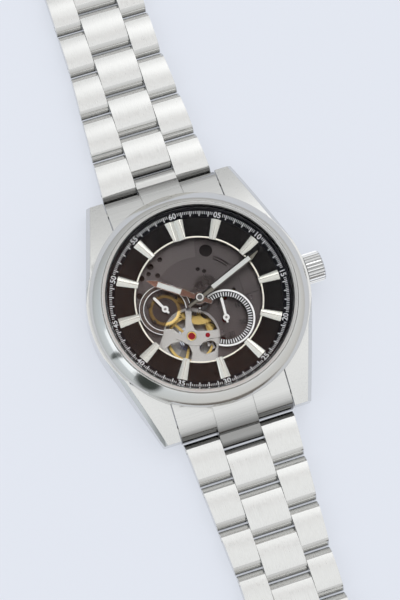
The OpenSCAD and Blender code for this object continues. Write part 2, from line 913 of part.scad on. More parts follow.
// Where the luminous fills begin, from the hands' points
minute_lume = 10.9;
hour_lume = 6.6;

module minute_hand() {
  color("whitesmoke")
    translate([0, 0, z_minute_hand])
      rotate(-minute_turn)
        hand(minute_len, 1.15, 2.6, 0.85, cannon_r + slip, minute_len - minute_lume, minute_len - 2);
}

module hour_hand() {
  color("whitesmoke")
    translate([0, 0, z_hour_hand])
      rotate(-hour_turn)
        hand(hour_len, 1.25, 2.4, 1.1, hour_pipe_r + slip, hour_len - hour_lume, hour_len - 2.1);
}

minute_wheel_turn = mesh(minute_dir, 0, cannon_z, minute_z);
hour_wheel_turn = mesh(minute_dir + 180, 0, minute_pinion_z, hour_z);
idler_turn = mesh(idler_dir, 0, hour_pinion_z, idler_z);
day_wheel_turn = mesh(dir(day_p - idler_p), idler_turn, idler_z, day_z);

module hour_wheel() {
  color("goldenrod")
    difference() {
      union() {
        rod(hour_pipe_r, z_motion + 0.55, z_hour_hand + hand_t);
        translate([0, 0, z_motion + 0.55]) rotate(hour_wheel_turn) wheel(hour_z, hour_m, 0.15);
        translate([0, 0, z_motion + 0.68]) wheel(hour_pinion_z, day_m, 0.22);
      }
      rod(hour_bore_r, z_motion, far);
    }
}

module minute_wheel() {
  color("goldenrod")
    translate(minute_p)
      difference() {
        union() {
          translate([0, 0, z_motion + 0.1]) rotate(minute_wheel_turn) wheel(minute_z, minute_m, 0.15);
          translate([0, 0, z_motion + 0.1]) wheel(minute_pinion_z, hour_m, 0.6);
        }
        rod(post_r + pivot_play, z_motion, far);
      }
}

module day_idler() {
  color("goldenrod")
    translate(idler_p)
      difference() {
        translate([0, 0, z_motion + 0.7]) rotate(idler_turn) wheel(idler_z, day_m, 0.18);
        rod(post_r + pivot_play, z_motion, far);
      }
}

module day_wheel() {
  color("goldenrod")
    translate(day_p) {
      rod(arbor_r, z_plate + 0.2, z_small_hand + hand_t + 0.1);
      rod(0.5, z_motion + 0.05, z_motion + 0.75);
      translate([0, 0, z_motion + 0.7]) rotate(day_wheel_turn) wheel(day_z, day_m, 0.18);
    }
}

// A small hand along +Y on a round hub
module small_hand(len) {
  hub_r = 0.62;
  w = 0.5;
  linear_extrude(hand_t)
    difference() {
      union() {
        circle(hub_r);
        polygon([[-0.2, -1], [0.2, -1], [w / 2, len * 0.55], [w / 2, len - 0.25], [0, len],
          [-w / 2, len - 0.25], [-w / 2, len * 0.55]]);
      }
      circle(arbor_r + slip);
    }
}

module day_hand() {
  color("whitesmoke")
    translate([day_p[0], day_p[1], z_small_hand]) rotate(-day_turn) small_hand(day_len);
}

module seconds_hand() {
  color("whitesmoke")
    translate([fourth_p[0], fourth_p[1], z_small_hand]) rotate(-seconds_turn) small_hand(seconds_len);
}

third_pinion_turn = mesh(third_dir, 0, centre_z, third_pinion_z);
fourth_pinion_turn = mesh(dir(fourth_p - third_p), 0, third_z, fourth_pinion_z);
escape_pinion_turn = mesh(dir(escape_p - fourth_p), 0, fourth_z, escape_pinion_z);
barrel_turn = mesh(barrel_dir, 0, centre_pinion_z, barrel_z);

module third_wheel() {
  color("goldenrod")
    translate(third_p) {
      rod(arbor_r, z_bridge + 0.12, z_plate + 0.28);
      translate([0, 0, z_train + 1.4]) rotate(third_pinion_turn) wheel(third_pinion_z, centre_m, 0.42);
      translate([0, 0, z_train + 0.85]) wheel(third_z, third_m, 0.15, 5);
    }
}

module fourth_wheel() {
  color("goldenrod")
    translate(fourth_p) {
      rod(arbor_r, z_bridge + 0.12, z_small_hand + hand_t + 0.1);
      translate([0, 0, z_train + 0.7]) rotate(fourth_pinion_turn) wheel(fourth_pinion_z, third_m, 0.45);
      translate([0, 0, z_train + 0.35]) wheel(fourth_z, fourth_m, 0.15, 5);
    }
}

// A club tooth of the escape wheel
function club(i) = [for (k = [[0.78, 0], [1, 7], [0.99, 10.5], [0.8, 6.5]])
  at(escape_r * k[0], 360 / escape_z * i + k[1])];

module escape_wheel() {
  color("lightsteelblue")
    translate(escape_p) {
      rod(arbor_r, z_bridge + 0.12, z_plate + 0.28);
      translate([0, 0, z_train + 0.25]) rotate(escape_pinion_turn) wheel(escape_pinion_z, fourth_m, 0.4);
      translate([0, 0, z_train + 1.3])
        linear_extrude(0.15) {
          difference() {
            circle(escape_r * 0.82);
            circle(escape_r * 0.66);
          }
          circle(arbor_r + 0.3);
          for (i = [0 : 3])
            rotate(90 * i) translate([0, -0.15]) square([escape_r * 0.7, 0.3]);
          for (i = [0 : escape_z - 1])
            polygon(club(i));
        }
    }
}

module pallet_fork() {
  to_balance = dir(balance_p - pallet_p);
  to_escape = dir(escape_p - pallet_p);
  lever_len = pallet_dist - 0.95;
  arm_len = 1.75;
  color("lightsteelblue")
    translate([pallet_p[0], pallet_p[1], z_train + 1.25]) {
      rod(arbor_r, 0, z_motion + 0.08 - z_train - 1.25);
      linear_extrude(0.25) {
        circle(0.45);
        rotate(to_balance)
          difference() {
            translate([0, -0.22]) square([lever_len, 0.44]);
            translate([lever_len - 0.35, -0.09]) square([far, 0.18]);
          }
        for (side = [-1, 1])
          rotate(to_escape + side * 62) translate([0, -0.2]) square([arm_len, 0.4]);
      }
    }
}

module balance_wheel() {
  rim_w = 0.5;
  z0 = z_train + 0.65;
  color("goldenrod")
    translate(balance_p) {
      rod(arbor_r, z_bridge + 0.02, z_motion + 0.2);
      tube(balance_r, balance_r - rim_w, z0, z0 + 0.45);
      rod(0.6, z0, z0 + 0.45);
      for (i = [0 : 2])
        rotate(120 * i)
          translate([0, -0.25, z0 + 0.1])
            cube([balance_r - rim_w / 2, 0.5, 0.25]);
      rod(0.7, z_train + 1.6, z_train + 1.8);
    }
}

spring_turns = 5;
spring_steps = 20;
spring_w = 0.09;
spring_r0 = 0.5;
spring_pitch = 0.36;

function spiral(side) = [for (i = [0 : spring_turns * spring_steps])
  at(spring_r0 + spring_pitch * i / spring_steps + side * spring_w / 2, 360 * i / spring_steps)];

module hairspring() {
  inner = spiral(-1);
  outer = spiral(1);
  color("steelblue")
    translate([balance_p[0], balance_p[1], z_train + 0.25]) {
      linear_extrude(0.15)
        polygon(concat(inner, [for (i = [len(outer) - 1 : -1 : 0]) outer[i]]));
      tube(spring_r0 + spring_w / 2, arbor_r + slip, -0.05, 0.2);
    }
}

module mainspring_barrel() {
  drum_r = barrel_m * barrel_z / 2 - 0.4;
  color("goldenrod")
    translate(barrel_p)
      difference() {
        union() {
          rod(drum_r, z_train + 0.1, z_train + 1.4);
          translate([0, 0, z_train + 0.25]) rotate(barrel_turn) wheel(barrel_z, barrel_m, 0.3);
        }
        rod(barrel_arbor_r + 0.05, 0, far);
        tube(drum_r - 0.4, 1.6, z_train + 0.35, z_train + 1.15);
      }
}

module rotor() {
  rim_r = rotor_r - 2;
  z0 = back_t + 0.65;
  color("gainsboro")
    difference() {
      union() {
        intersection() {
          union() {
            tube(rotor_r, rim_r, z0, z0 + 0.8);
            rod(rim_r + slip, z0 + 0.1, z0 + 0.4);
          }
          translate([-far / 2, -far, 0]) cube([far, far, far]);
        }
        rod(2.4, z0 + 0.1, z0 + 0.6);
      }
      rod(rotor_post_r + 0.05, 0, far);
      for (a = [-125, -55])
        rotate(a) translate([rim_r * 0.6, 0, 0]) cylinder(r = 1.9, h = far);
      rod(1.6, 0, z0 + 0.25);
    }
}

square_w = 0.76;

module sliding_pinion() {
  color("gray")
    translate([0, 0, z_stem])
      difference() {
        union() {
          along_x(0.95, slot_x + 0.3, slot_x + 0.7);
          along_x(0.7, slot_x + 0.6, slot_x + 1.1);
          along_x(0.95, slot_x + 1, slot_x + 1.5);
        }
        translate([slot_x, -square_w / 2 - slip, -square_w / 2 - slip])
          cube([3, square_w + 2 * slip, square_w + 2 * slip]);
      }
}

module winding_stem() {
  color("gray")
    translate([0, 0, z_stem]) {
      translate([slot_x + 0.1, -square_w / 2, -square_w / 2]) cube([2.6, square_w, square_w]);
      along_x(stem_r, slot_x + 2.6, crown_x + crown_len - 1);
    }
}

module crown() {
  r = crown_d / 2;
  round_r = 0.55;
  flute_r = 0.26;
  color("silver")
    translate([crown_x, 0, z_stem])
      difference() {
        rotate([0, 90, 0])
          rotate_extrude() {
            square([r, crown_len - round_r]);
            square([r - round_r, crown_len]);
            translate([r - round_r, crown_len - round_r]) circle(round_r);
          }
        along_x(tube_r + 0.15, -past, 1.1);
        along_x(stem_r + slip, 0, crown_len - 1);
        for (i = [0 : crown_flutes - 1])
          rotate([360 / crown_flutes * i, 0, 0])
            translate([0, 0, r + flute_r * 0.25])
              along_x(flute_r, -past, crown_len + past);
      }
}

// Bracelet width at joint k, counted from the case
function band_w(k) = max(link_w1, link_w0 - link_taper * k);
// Where the stop face leaves a nose's end and its underside
stop_reach = reach - 0.03;
stop_z = nose_r - (stop_reach - nose_r * cos(stop_angle)) / sin(stop_angle);
stop_y = (stop_reach - nose_r * sin(stop_angle)) / cos(stop_angle);
// The rolled strip at a column's end, its width from above and its slope where it meets the arched top
strip_w = 1.3;
crease_dir = 30;
roll_r = strip_w / (1 - sin(crease_dir));
arch_r = 14;
side_gap = 0.05;
rivet_r = 0.5;

// A link column's outline from y0 to y1: an arched top, and rolled ends that meet it in a crease
module bar_2d(y0, y1) {
  mid_y = (y0 + y1) / 2;
  crease_y = y1 - strip_w - mid_y;
  crease_z = link_t - arch_r + sqrt(arch_r * arch_r - crease_y * crease_y);
  roll_z = crease_z - roll_r * cos(crease_dir);
  translate([y0, 0]) square([y1 - y0, roll_z]);
  intersection() {
    translate([mid_y, link_t - arch_r]) circle(arch_r);
    translate([y0, 0]) square([y1 - y0, link_t]);
    union() {
      translate([y0 + roll_r, 0]) square([y1 - y0 - 2 * roll_r, link_t]);
      for (y = [y0 + roll_r, y1 - roll_r])
        translate([y, roll_z]) circle(roll_r);
    }
  }
}

// Clears the lower edge of a nose, so that it stops flat against the next piece
module stop_cut() {
  polygon([[-nose_r - past, stop_z], [-nose_r, stop_z], [-stop_y, 0], [-stop_y, -past],
    [-nose_r - past, -past]]);
}

module outer_2d() {
  difference() {
    bar_2d(-nose_r, link_pitch - reach);
    stop_cut();
  }
}

module centre_2d() {
  y1 = link_pitch + nose_r;
  difference() {
    bar_2d(reach, y1);
    translate([link_pitch, 0]) mirror([1, 0]) stop_cut();
  }
}

// Link k of a half, its first pin on the axis y = 0, z = nose_r
module link(k) {
  half = centre_w / 2 + side_gap;
  w0 = band_w(k) / 2;
  w1 = band_w(k + 1) / 2;
  pin_len = w1 - 0.15;
  rivet_y = link_pitch / 2;
  rivet_len = (w0 + w1) / 2 - 1.2;
  for (side = [-1, 1])
    difference() {
      intersection() {
        rotate([90, 0, 90]) linear_extrude(2 * far, center = true) outer_2d();
        linear_extrude(far)
          polygon([[side * half, -far], [side * (w0 + (w0 - w1) / link_pitch * far), -far],
            [side * (w1 - (w0 - w1) / link_pitch * (far - link_pitch)), far], [side * half, far]]);
      }
      translate([0, 0, nose_r]) along_x(pin_r + slip, -far, far);
      translate([0, rivet_y, nose_r]) along_x(rivet_r + slip, -rivet_len - slip, rivet_len + slip);
    }
  difference() {
    rotate([90, 0, 90]) linear_extrude(centre_w, center = true) centre_2d();
    translate([0, link_pitch, nose_r]) along_x(pin_r + pin_play, -far, far);
    translate([0, rivet_y, nose_r]) along_x(rivet_r + slip, -far, far);
  }
  translate([0, 0, nose_r]) along_x(pin_r, -pin_len, pin_len);
  translate([0, rivet_y, nose_r]) along_x(rivet_r, -rivet_len, rivet_len);
}

module upper_link(k) {
  color("silver") translate([0, end_pin_y + link_pitch * k, 0]) link(k);
}

module lower_link(k) {
  color("silver") rotate(180) translate([0, end_pin_y + link_pitch * k, 0]) link(k);
}

lower_links = 5;
clasp_y = end_pin_y + link_pitch * lower_links;
cover_h = 5.8;
cover_t = 0.9;
cover_wall = 1.1;
cover_round = 1.2;
hinge_y = clasp_len - 1.4;
hinge_z = 3.85;
fold_y = 8.5;
fold_z = 2.3;
knuckle_r = 0.95;
hinge_pin_r = 0.5;
hinge_play = 0.05;
blade_w = 12;
blade_t = 0.75;
fold_half = 3;
clasp_end_y = hinge_y - 2.5;

// Puts a piece drawn along +Y from the last lower link's front pin into its place
module clasp_place() {
  rotate(180) translate([0, clasp_y, 0]) children();
}

module cover_2d() {
  y0 = -nose_r;
  y1 = clasp_len;
  translate([y0, 0]) square([y1 - y0, cover_h - cover_round]);
  translate([y0 + cover_round, 0]) square([y1 - y0 - 2 * cover_round, cover_h]);
  for (y = [y0 + cover_round, y1 - cover_round])
    translate([y, cover_h - cover_round]) circle(cover_round);
}

module clasp_cover() {
  half = link_w1 / 2;
  inner = half - cover_wall;
  color("silver")
    clasp_place() {
      difference() {
        rotate([90, 0, 90])
          linear_extrude(2 * half, center = true)
            difference() {
              cover_2d();
              stop_cut();
            }
        translate([-inner, -far, -past]) cube([2 * inner, 2 * far, cover_h - cover_t + past]);
        translate([0, 0, nose_r]) along_x(pin_r + slip, -far, far);
        translate([0, hinge_y, hinge_z]) along_x(hinge_pin_r + slip, -far, far);
      }
      translate([0, 0, nose_r]) along_x(pin_r, -half + 0.15, half - 0.15);
      translate([0, hinge_y, hinge_z]) along_x(hinge_pin_r, -half + 0.15, half - 0.15);
    }
}

module clasp_middle_blade() {
  half = blade_w / 2;
  ear = half - fold_half - 0.1;
  color("gainsboro")
    clasp_place() {
      difference() {
        union() {
          translate([-half, fold_y + 1.2, hinge_z - blade_t / 2])
            cube([blade_w, hinge_y - fold_y - 1.2, blade_t]);
          translate([0, hinge_y, hinge_z]) along_x(knuckle_r, -half, half);
          for (side = [-1, 1])
            translate([side > 0 ? half - ear : -half, fold_y, 0]) {
              translate([0, -knuckle_r, fold_z])
                cube([ear, 2 * knuckle_r + 0.4, hinge_z + blade_t / 2 - fold_z]);
              translate([0, 0, fold_z]) along_x(knuckle_r, 0, ear);
            }
        }
        translate([0, hinge_y, hinge_z]) along_x(hinge_pin_r + hinge_play, -far, far);
        translate([0, fold_y, fold_z]) along_x(hinge_pin_r + slip, -far, far);
      }
      translate([0, fold_y, fold_z]) along_x(hinge_pin_r, -half + 0.15, half - 0.15);
    }
}

module clasp_end_blade() {
  half = blade_w / 2;
  blade_z = 0.05;
  fork = centre_w / 2 + 0.1;
  fork_y = clasp_end_y - nose_r - link_gap;
  color("gainsboro")
    clasp_place()
      difference() {
        union() {
          translate([-half, fold_y + 1.4, blade_z]) cube([blade_w, fork_y - fold_y - 1.4, blade_t]);
          translate([-fold_half, fold_y - knuckle_r, blade_z]) {
            cube([2 * fold_half, 2 * knuckle_r + 1, blade_t]);
            cube([2 * fold_half, 2 * knuckle_r, fold_z - blade_z]);
          }
          translate([0, fold_y, fold_z]) along_x(knuckle_r, -fold_half, fold_half);
          for (side = [-1, 1])
            translate([side > 0 ? fork : -half, 0, 0]) {
              translate([0, fork_y - past, blade_z])
                cube([half - fork, clasp_end_y - fork_y + past, blade_t]);
              translate([0, clasp_end_y, nose_r]) along_x(nose_r - blade_z, 0, half - fork);
            }
        }
        translate([0, fold_y, fold_z]) along_x(hinge_pin_r + hinge_play, -far, far);
        translate([0, clasp_end_y, nose_r]) along_x(pin_r + slip, -far, far);
      }
}

mid_case();
bezel();
crystal();
chapter_ring();
dial();
aperture_rim();
hour_indices();
smoked_dial();
seconds_track();
day_track();
main_plate();
front_balance_bridge();
train_bridge();
balance_cock();
movement_ring();
case_back();
case_back_crystal();
case_back_gasket();
crown_tube();
end_link_upper();
end_link_lower();
lug_spring_bars();
jewels();
movement_screws();
center_wheel();
cannon_pinion();
minute_hand();
hour_wheel();
hour_hand();
minute_wheel();
day_idler();
day_wheel();
day_hand();
third_wheel();
fourth_wheel();
seconds_hand();
escape_wheel();
pallet_fork();
balance_wheel();
hairspring();
mainspring_barrel();
rotor();
sliding_pinion();
winding_stem();
crown();
upper_link(0);  // upper_link_1
upper_link(1);  // upper_link_2
upper_link(2);  // upper_link_3
upper_link(3);  // upper_link_4
upper_link(4);  // upper_link_5
upper_link(5);  // upper_link_6
upper_link(6);  // upper_link_7
lower_link(0);  // lower_link_1
lower_link(1);  // lower_link_2
lower_link(2);  // lower_link_3
lower_link(3);  // lower_link_4
lower_link(4);  // lower_link_5
clasp_cover();
clasp_middle_blade();
clasp_end_blade();
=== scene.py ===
# %% [markdown]
# # A skeleton wristwatch: finishing metal, glass and print
#
# Every working part of this watch is already built to its real size: case, movement, hands and
# bracelet arrive here as fixed meshes in metres. What is left is what the eye reads first, which is
# how each surface was finished, what is printed on the dial, and the light that shows it. We load the
# parts and keep their box, whose lowest point sets the height of the table.

# %% Load the working parts
import json
import math

import bpy
from mathutils import Matrix, Vector

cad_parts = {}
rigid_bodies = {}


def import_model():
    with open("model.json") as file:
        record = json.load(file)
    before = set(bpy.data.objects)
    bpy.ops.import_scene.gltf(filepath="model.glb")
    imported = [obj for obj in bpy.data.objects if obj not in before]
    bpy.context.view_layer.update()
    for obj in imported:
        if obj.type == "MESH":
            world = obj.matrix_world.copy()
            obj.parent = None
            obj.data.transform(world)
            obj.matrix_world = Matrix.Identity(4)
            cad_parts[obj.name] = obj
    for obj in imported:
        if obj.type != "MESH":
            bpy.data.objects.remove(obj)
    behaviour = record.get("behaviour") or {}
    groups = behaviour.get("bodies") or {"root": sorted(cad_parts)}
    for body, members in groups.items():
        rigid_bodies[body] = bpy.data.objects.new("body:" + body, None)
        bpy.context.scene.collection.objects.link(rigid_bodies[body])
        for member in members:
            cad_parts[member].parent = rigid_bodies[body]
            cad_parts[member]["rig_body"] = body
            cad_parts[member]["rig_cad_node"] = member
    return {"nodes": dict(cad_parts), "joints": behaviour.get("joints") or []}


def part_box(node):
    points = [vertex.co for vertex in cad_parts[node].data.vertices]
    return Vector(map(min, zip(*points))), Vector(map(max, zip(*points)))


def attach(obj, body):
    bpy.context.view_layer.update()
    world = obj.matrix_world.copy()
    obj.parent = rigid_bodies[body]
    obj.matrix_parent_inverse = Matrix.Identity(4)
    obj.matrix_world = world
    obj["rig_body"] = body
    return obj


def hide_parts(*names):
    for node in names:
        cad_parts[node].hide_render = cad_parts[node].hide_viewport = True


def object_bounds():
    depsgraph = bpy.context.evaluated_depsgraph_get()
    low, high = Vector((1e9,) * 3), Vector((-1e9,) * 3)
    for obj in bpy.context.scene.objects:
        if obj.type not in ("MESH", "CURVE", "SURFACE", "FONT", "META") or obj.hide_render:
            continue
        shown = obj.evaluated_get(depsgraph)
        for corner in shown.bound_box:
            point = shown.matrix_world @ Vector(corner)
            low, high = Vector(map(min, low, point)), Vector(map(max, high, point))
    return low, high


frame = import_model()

MM = 0.001
cad_low, cad_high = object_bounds()
parts = frame["nodes"]
pivot = {joint["name"]: Vector(joint["pos_m"]) for joint in frame["joints"] if "pos_m" in joint}
print("parts:", len(parts), "box in mm:", [round(side / MM, 2) for side in cad_high - cad_low])

# %% [markdown]
# ## Camera
#
# The watch is seen from a little below and to the left of the dial's own axis, with twelve o'clock
# turned to the left. A long lens at forty centimetres keeps the two halves of the bracelet nearly
# parallel, as they are in a product picture. We could try lenses by eye, but the lens follows from
# the scale: so many pixels to the millimetre at the height of the dial.

# %% Camera
PICTURE_H = 600
PIXELS_PER_MM = 5.46
CAMERA_DISTANCE = 400 * MM
SIGHT = Vector((-0.125, -0.195, 0.973)).normalized()
TWELVE_TURNED = math.radians(18.3)
FRAME_CENTRE = Vector((0.1 * MM, -0.15 * MM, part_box("dial")[1].z))

bpy.ops.object.camera_add()
camera = bpy.context.object
camera.name = "camera"
to_twelve = Vector((math.sin(TWELVE_TURNED), math.cos(TWELVE_TURNED), 0))
camera_right = to_twelve.cross(SIGHT).normalized()
camera_up = SIGHT.cross(camera_right)
camera.matrix_world = Matrix((camera_right, camera_up, SIGHT)).transposed().to_4x4()
camera.location = FRAME_CENTRE + SIGHT * CAMERA_DISTANCE
half_view = PICTURE_H / 2 / PIXELS_PER_MM * MM
camera.data.lens = camera.data.sensor_width / 2 * CAMERA_DISTANCE / half_view
camera.data.clip_start = 10 * MM
bpy.context.scene.camera = camera
bpy.context.scene.view_settings.view_transform = "Standard"
print("lens in mm:", round(camera.data.lens, 1))

# %% [markdown]
# ## Small helpers for nodes
#
# A finish is one Principled shader and a few nodes that vary its sockets. Each could be wired by hand
# in the node editor, but the same few moves come back in every finish, so we name them: start a
# material with its plain sockets set, put a node in and fill its sockets with a value or a wire, and
# stretch, blend or measure what comes out.

# %% Node helpers
# A Mix node has sockets for numbers, vectors and colours; these are the places of its colour sockets.
COLOUR_A = 6
COLOUR_B = 7
COLOUR_OUT = 2


def finish(name, colour, **sockets):
    """A new material, its node tree and its shader, with plain values set on the shader's own sockets."""
    material = bpy.data.materials.new(name)
    material.use_nodes = True
    shader = material.node_tree.nodes["Principled BSDF"]
    shader.inputs["Base Color"].default_value = (*colour, 1)
    for socket, value in sockets.items():
        shader.inputs[socket.replace("_", " ")].default_value = value
    return material, material.node_tree, shader


def put(tree, kind, sockets, **settings):
    """A node of that kind; sockets holds values or the outputs that feed them. Returns its first output."""
    node = tree.nodes.new("ShaderNode" + kind)
    for setting, value in settings.items():
        setattr(node, setting, value)
    for socket, value in sockets.items():
        if isinstance(value, bpy.types.NodeSocket):
            tree.links.new(value, node.inputs[socket])
        else:
            node.inputs[socket].default_value = value
    return node.outputs[0]


def feed(tree, source, shader, socket):
    """Wires an output to one of the shader's sockets."""
    tree.links.new(source, shader.inputs[socket])


def show(tree, look):
    """Makes a mix of shaders the surface of its material."""
    tree.links.new(look, tree.nodes["Material Output"].inputs["Surface"])


def spread(tree, value, low, high, to_low, to_high):
    """Stretches the part of value between low and high over the range to_low to to_high."""
    span = {"Value": value, "From Min": low, "From Max": high, "To Min": to_low, "To Max": to_high}
    return put(tree, "MapRange", span)


def blend(tree, share, first, second):
    """A colour that goes from first to second as share goes from zero to one."""
    colours = {0: share, COLOUR_A: (*first, 1), COLOUR_B: (*second, 1)}
    return put(tree, "Mix", colours, data_type="RGBA").node.outputs[COLOUR_OUT]


def ramp(tree, value, colours):
    """Colours for the values that a list of (value, colour) names, blended in between."""
    shade = put(tree, "ValToRGB", {"Fac": value})
    stops = shade.node.color_ramp.elements
    while len(stops) < len(colours):
        stops.new(0.5)
    for stop, (at, colour) in zip(stops, colours):
        stop.position = at
        stop.color = (*colour, 1)
    return shade


def apart(tree, vector):
    """The X, Y and Z of a vector, as outputs to call by name."""
    return put(tree, "SeparateXYZ", {0: vector}).node.outputs


def scaled(tree, vector, factor):
    return put(tree, "VectorMath", {0: vector, "Scale": factor}, operation="SCALE")


def length_of(tree, vector):
    return put(tree, "VectorMath", {0: vector}, operation="LENGTH").node.outputs["Value"]


print("node helpers ready")

# %% [markdown]
# ## Grain, brush lines and rays
#
# Real metal and print are never quite even. Brushing leaves lines, blasting leaves grains and wiping
# leaves haze. All three are noise, and only the way it is drawn out tells them apart. Painted
# textures would need an unwrapped mesh. Noise measured in metres on the part itself doesn't, and a
# grain stays the same size on a large piece and on a small one.

# %% Texture helpers
NOISE_LOW = 0.3
NOISE_HIGH = 0.7
ACROSS_X = (0, 1, 1)
ACROSS_Z = (1, 1, 0)


def place_of(tree):
    """The place on the part, in metres."""
    return tree.nodes.new("ShaderNodeTexCoord").outputs["Object"]


def facing_of(tree):
    """The direction in which the surface faces."""
    return tree.nodes.new("ShaderNodeTexCoord").outputs["Normal"]


def off_axis(tree, centre, across=ACROSS_Z):
    """The place measured from an axis through centre; across is one in the directions across the axis."""
    away = put(tree, "VectorMath", {0: place_of(tree), 1: centre}, operation="SUBTRACT")
    return put(tree, "VectorMath", {0: away, 1: across}, operation="MULTIPLY")


def axis_distance(tree, centre, across=ACROSS_Z):
    return length_of(tree, off_axis(tree, centre, across))


def speckle(tree, grain_size):
    """Even noise with grains of that size in metres."""
    return put(tree, "TexNoise", {"Vector": place_of(tree), "Scale": 1 / grain_size, "Detail": 3.0})


def brush_lines(tree, width, length, axis):
    """Noise drawn out into brush lines along one axis (0, 1 or 2), width and length in metres."""
    scale = [1 / width] * 3
    scale[axis] = 1 / length
    lines = put(tree, "Mapping", {"Vector": place_of(tree), "Scale": scale})
    return put(tree, "TexNoise", {"Vector": lines, "Scale": 1.0, "Detail": 5.0, "Roughness": 0.62})


def radial_lines(tree, centre, count):
    """Noise that changes only with the direction from centre, as in a sunray finish."""
    around = put(tree, "VectorMath", {0: off_axis(tree, centre)}, operation="NORMALIZE")
    return put(tree, "TexNoise", {"Vector": around, "Scale": count, "Detail": 4.0, "Roughness": 0.6})


def noise_to(tree, noise, low, high):
    """Stretches the middle of a noise, where nearly all of it lies, over the range low to high."""
    return spread(tree, noise, NOISE_LOW, NOISE_HIGH, low, high)


def roughen(tree, shader, noise, low, high):
    """Lets a noise vary the shader's roughness between low and high."""
    feed(tree, noise_to(tree, noise, low, high), shader, "Roughness")


def emboss(tree, shader, height, depth, strength=0.5):
    """Lets a noise raise and lower the surface by a depth in metres."""
    relief = put(tree, "Bump", {"Height": height, "Distance": depth, "Strength": strength})
    feed(tree, relief, shader, "Normal")


print("texture helpers ready")

# %% [markdown]
# ## Brushed steel
#
# The case and the bracelet are one alloy in two finishes. Flat tops are brushed, which leaves fine
# lines and a broad soft sheen. Rolled ends and bevels are polished like a mirror. On the real piece a
# belt makes the first and a wheel the second, so the border between them follows the way that the
# surface faces. Two materials on two sets of faces would give a hard border, so one material reads
# the surface's own direction and blends brushed into polished where it turns. On the links and the
# end links a painted shade also darkens the colour where the surface turns away, for the darker room
# that the rolled ends mirror. The end links are brushed across the bracelet instead, and a painted
# shade darkens them towards the nose that meets the first link, more so at six o'clock.

# %% Brushed steel
STEEL = (0.68, 0.68, 0.67)
LINE_COLOURS = [(NOISE_LOW, (0.66, 0.66, 0.65)), (NOISE_HIGH, (0.76, 0.76, 0.75))]
# The next four say how far a surface faces up: one is level, and zero is upright.
BRUSHED_FROM = 0.88
BRUSHED_TO = 0.93
ROLL_SHADE_FROM = 0.55
ROLL_SHADE_TO = 0.94
LINE_DEPTH = 0.003 * MM
LINE_STRENGTH = 0.25
NOSE_SHADE_END = 24 * MM


def brushed_steel(name, axis, line_width=0.09 * MM, line_length=9 * MM, roll_shade=1.0):
    """Brushed along axis where it faces up; polished where it turns away, and there a painted shade scales
    the colour down to roll_shade.
    """
    material, tree, shader = finish(name, STEEL, Metallic=1.0)
    lines = brush_lines(tree, line_width, line_length, axis)
    upward = apart(tree, facing_of(tree))["Z"]
    flat = spread(tree, upward, BRUSHED_FROM, BRUSHED_TO, 0.0, 1.0)
    brushed = noise_to(tree, lines, 0.26, 0.36)
    polished = noise_to(tree, lines, 0.08, 0.12)
    feed(tree, put(tree, "Mix", {"Factor": flat, "A": polished, "B": brushed}), shader, "Roughness")
    strength = put(tree, "Math", {0: flat, 1: LINE_STRENGTH}, operation="MULTIPLY")
    emboss(tree, shader, lines, LINE_DEPTH, strength)
    # Painted shade: the colour is scaled down where the surface turns away from the top.
    painted_shade = spread(tree, upward, ROLL_SHADE_FROM, ROLL_SHADE_TO, roll_shade, 1.0)
    feed(tree, scaled(tree, ramp(tree, lines, LINE_COLOURS), painted_shade), shader, "Base Color")
    return material


def end_link_steel(name, way, nose_shade_from, nose_shade):
    """Brushed across the bracelet, with a painted shade that darkens it from nose_shade_from on down to
    nose_shade; way is 1 at twelve and -1 at six.
    """
    material = brushed_steel(name, axis=0, line_width=0.06 * MM, line_length=40 * MM, roll_shade=0.45)
    tree = material.node_tree
    shader = tree.nodes["Principled BSDF"]
    along = apart(tree, place_of(tree))["Y"]
    # Painted shade: darker along Y towards the nose of the end link.
    painted_shade = spread(tree, along, way * nose_shade_from, way * NOSE_SHADE_END, 1.0, nose_shade)
    steel = shader.inputs["Base Color"].links[0].from_socket
    feed(tree, scaled(tree, steel, painted_shade), shader, "Base Color")
    return material


band_steel = brushed_steel("band_steel_brushed_roll_shaded", axis=1, roll_shade=0.9)
case_steel = brushed_steel("case_steel_brushed", axis=1, line_length=16 * MM)
# The painted shade on the nose is light at twelve and deep at six.
upper_end_steel = end_link_steel("end_link_steel_upper_nose_shaded", way=1, nose_shade_from=21.4 * MM, nose_shade=0.85)
lower_end_steel = end_link_steel("end_link_steel_lower_nose_shaded", way=-1, nose_shade_from=20.6 * MM, nose_shade=0.45)
print("brushed steel:", len(bpy.data.materials))

# %% [markdown]
# ## Polished steel
#
# A mirror finish takes its look from what stands around it, so it needs little more than the faint
# haze that wiping leaves. Two pieces need more. The dome of the bezel has a painted reflection: its
# colour is a little warmer where it turns down to the table. The crown is fluted, and a painted shade
# keeps its grooves dark. Separate faces for the grooves would be fiddly to pick, so the material
# darkens the crown by the distance from its axis, and keeps the end face bright.

# %% Polished steel
HAZE_SIZE = 2.5 * MM
WARM_REFLECTION_STEEL = (0.68, 0.665, 0.625)
DOME_LOW = 0.6
DOME_TOP = 0.85
END_FACE_FROM = 0.4
END_FACE_TO = 0.7
GROOVE_SHADE = 0.1
FLUTE_SHADE = 0.92
END_FACE_SHADE = 0.72


def polished_steel(name, colour=STEEL, roughness=0.06):
    """A mirror finish with a faint haze; more roughness makes it satin."""
    material, tree, shader = finish(name, colour, Metallic=1.0)
    roughen(tree, shader, speckle(tree, HAZE_SIZE), roughness * 0.7, roughness * 1.5)
    return material


def bezel_steel(name):
    """Polished, with a painted reflection: the colour is a little warmer where the dome turns down to the
    table.
    """
    material, tree, shader = finish(name, STEEL, Metallic=1.0)
    upward = apart(tree, facing_of(tree))["Z"]
    on_top = spread(tree, upward, DOME_LOW, DOME_TOP, 0.0, 1.0)
    # Painted reflection: a warmer colour where the dome faces down towards the table.
    feed(tree, blend(tree, on_top, WARM_REFLECTION_STEEL, STEEL), shader, "Base Color")
    roughen(tree, shader, speckle(tree, HAZE_SIZE), 0.07, 0.12)
    return material


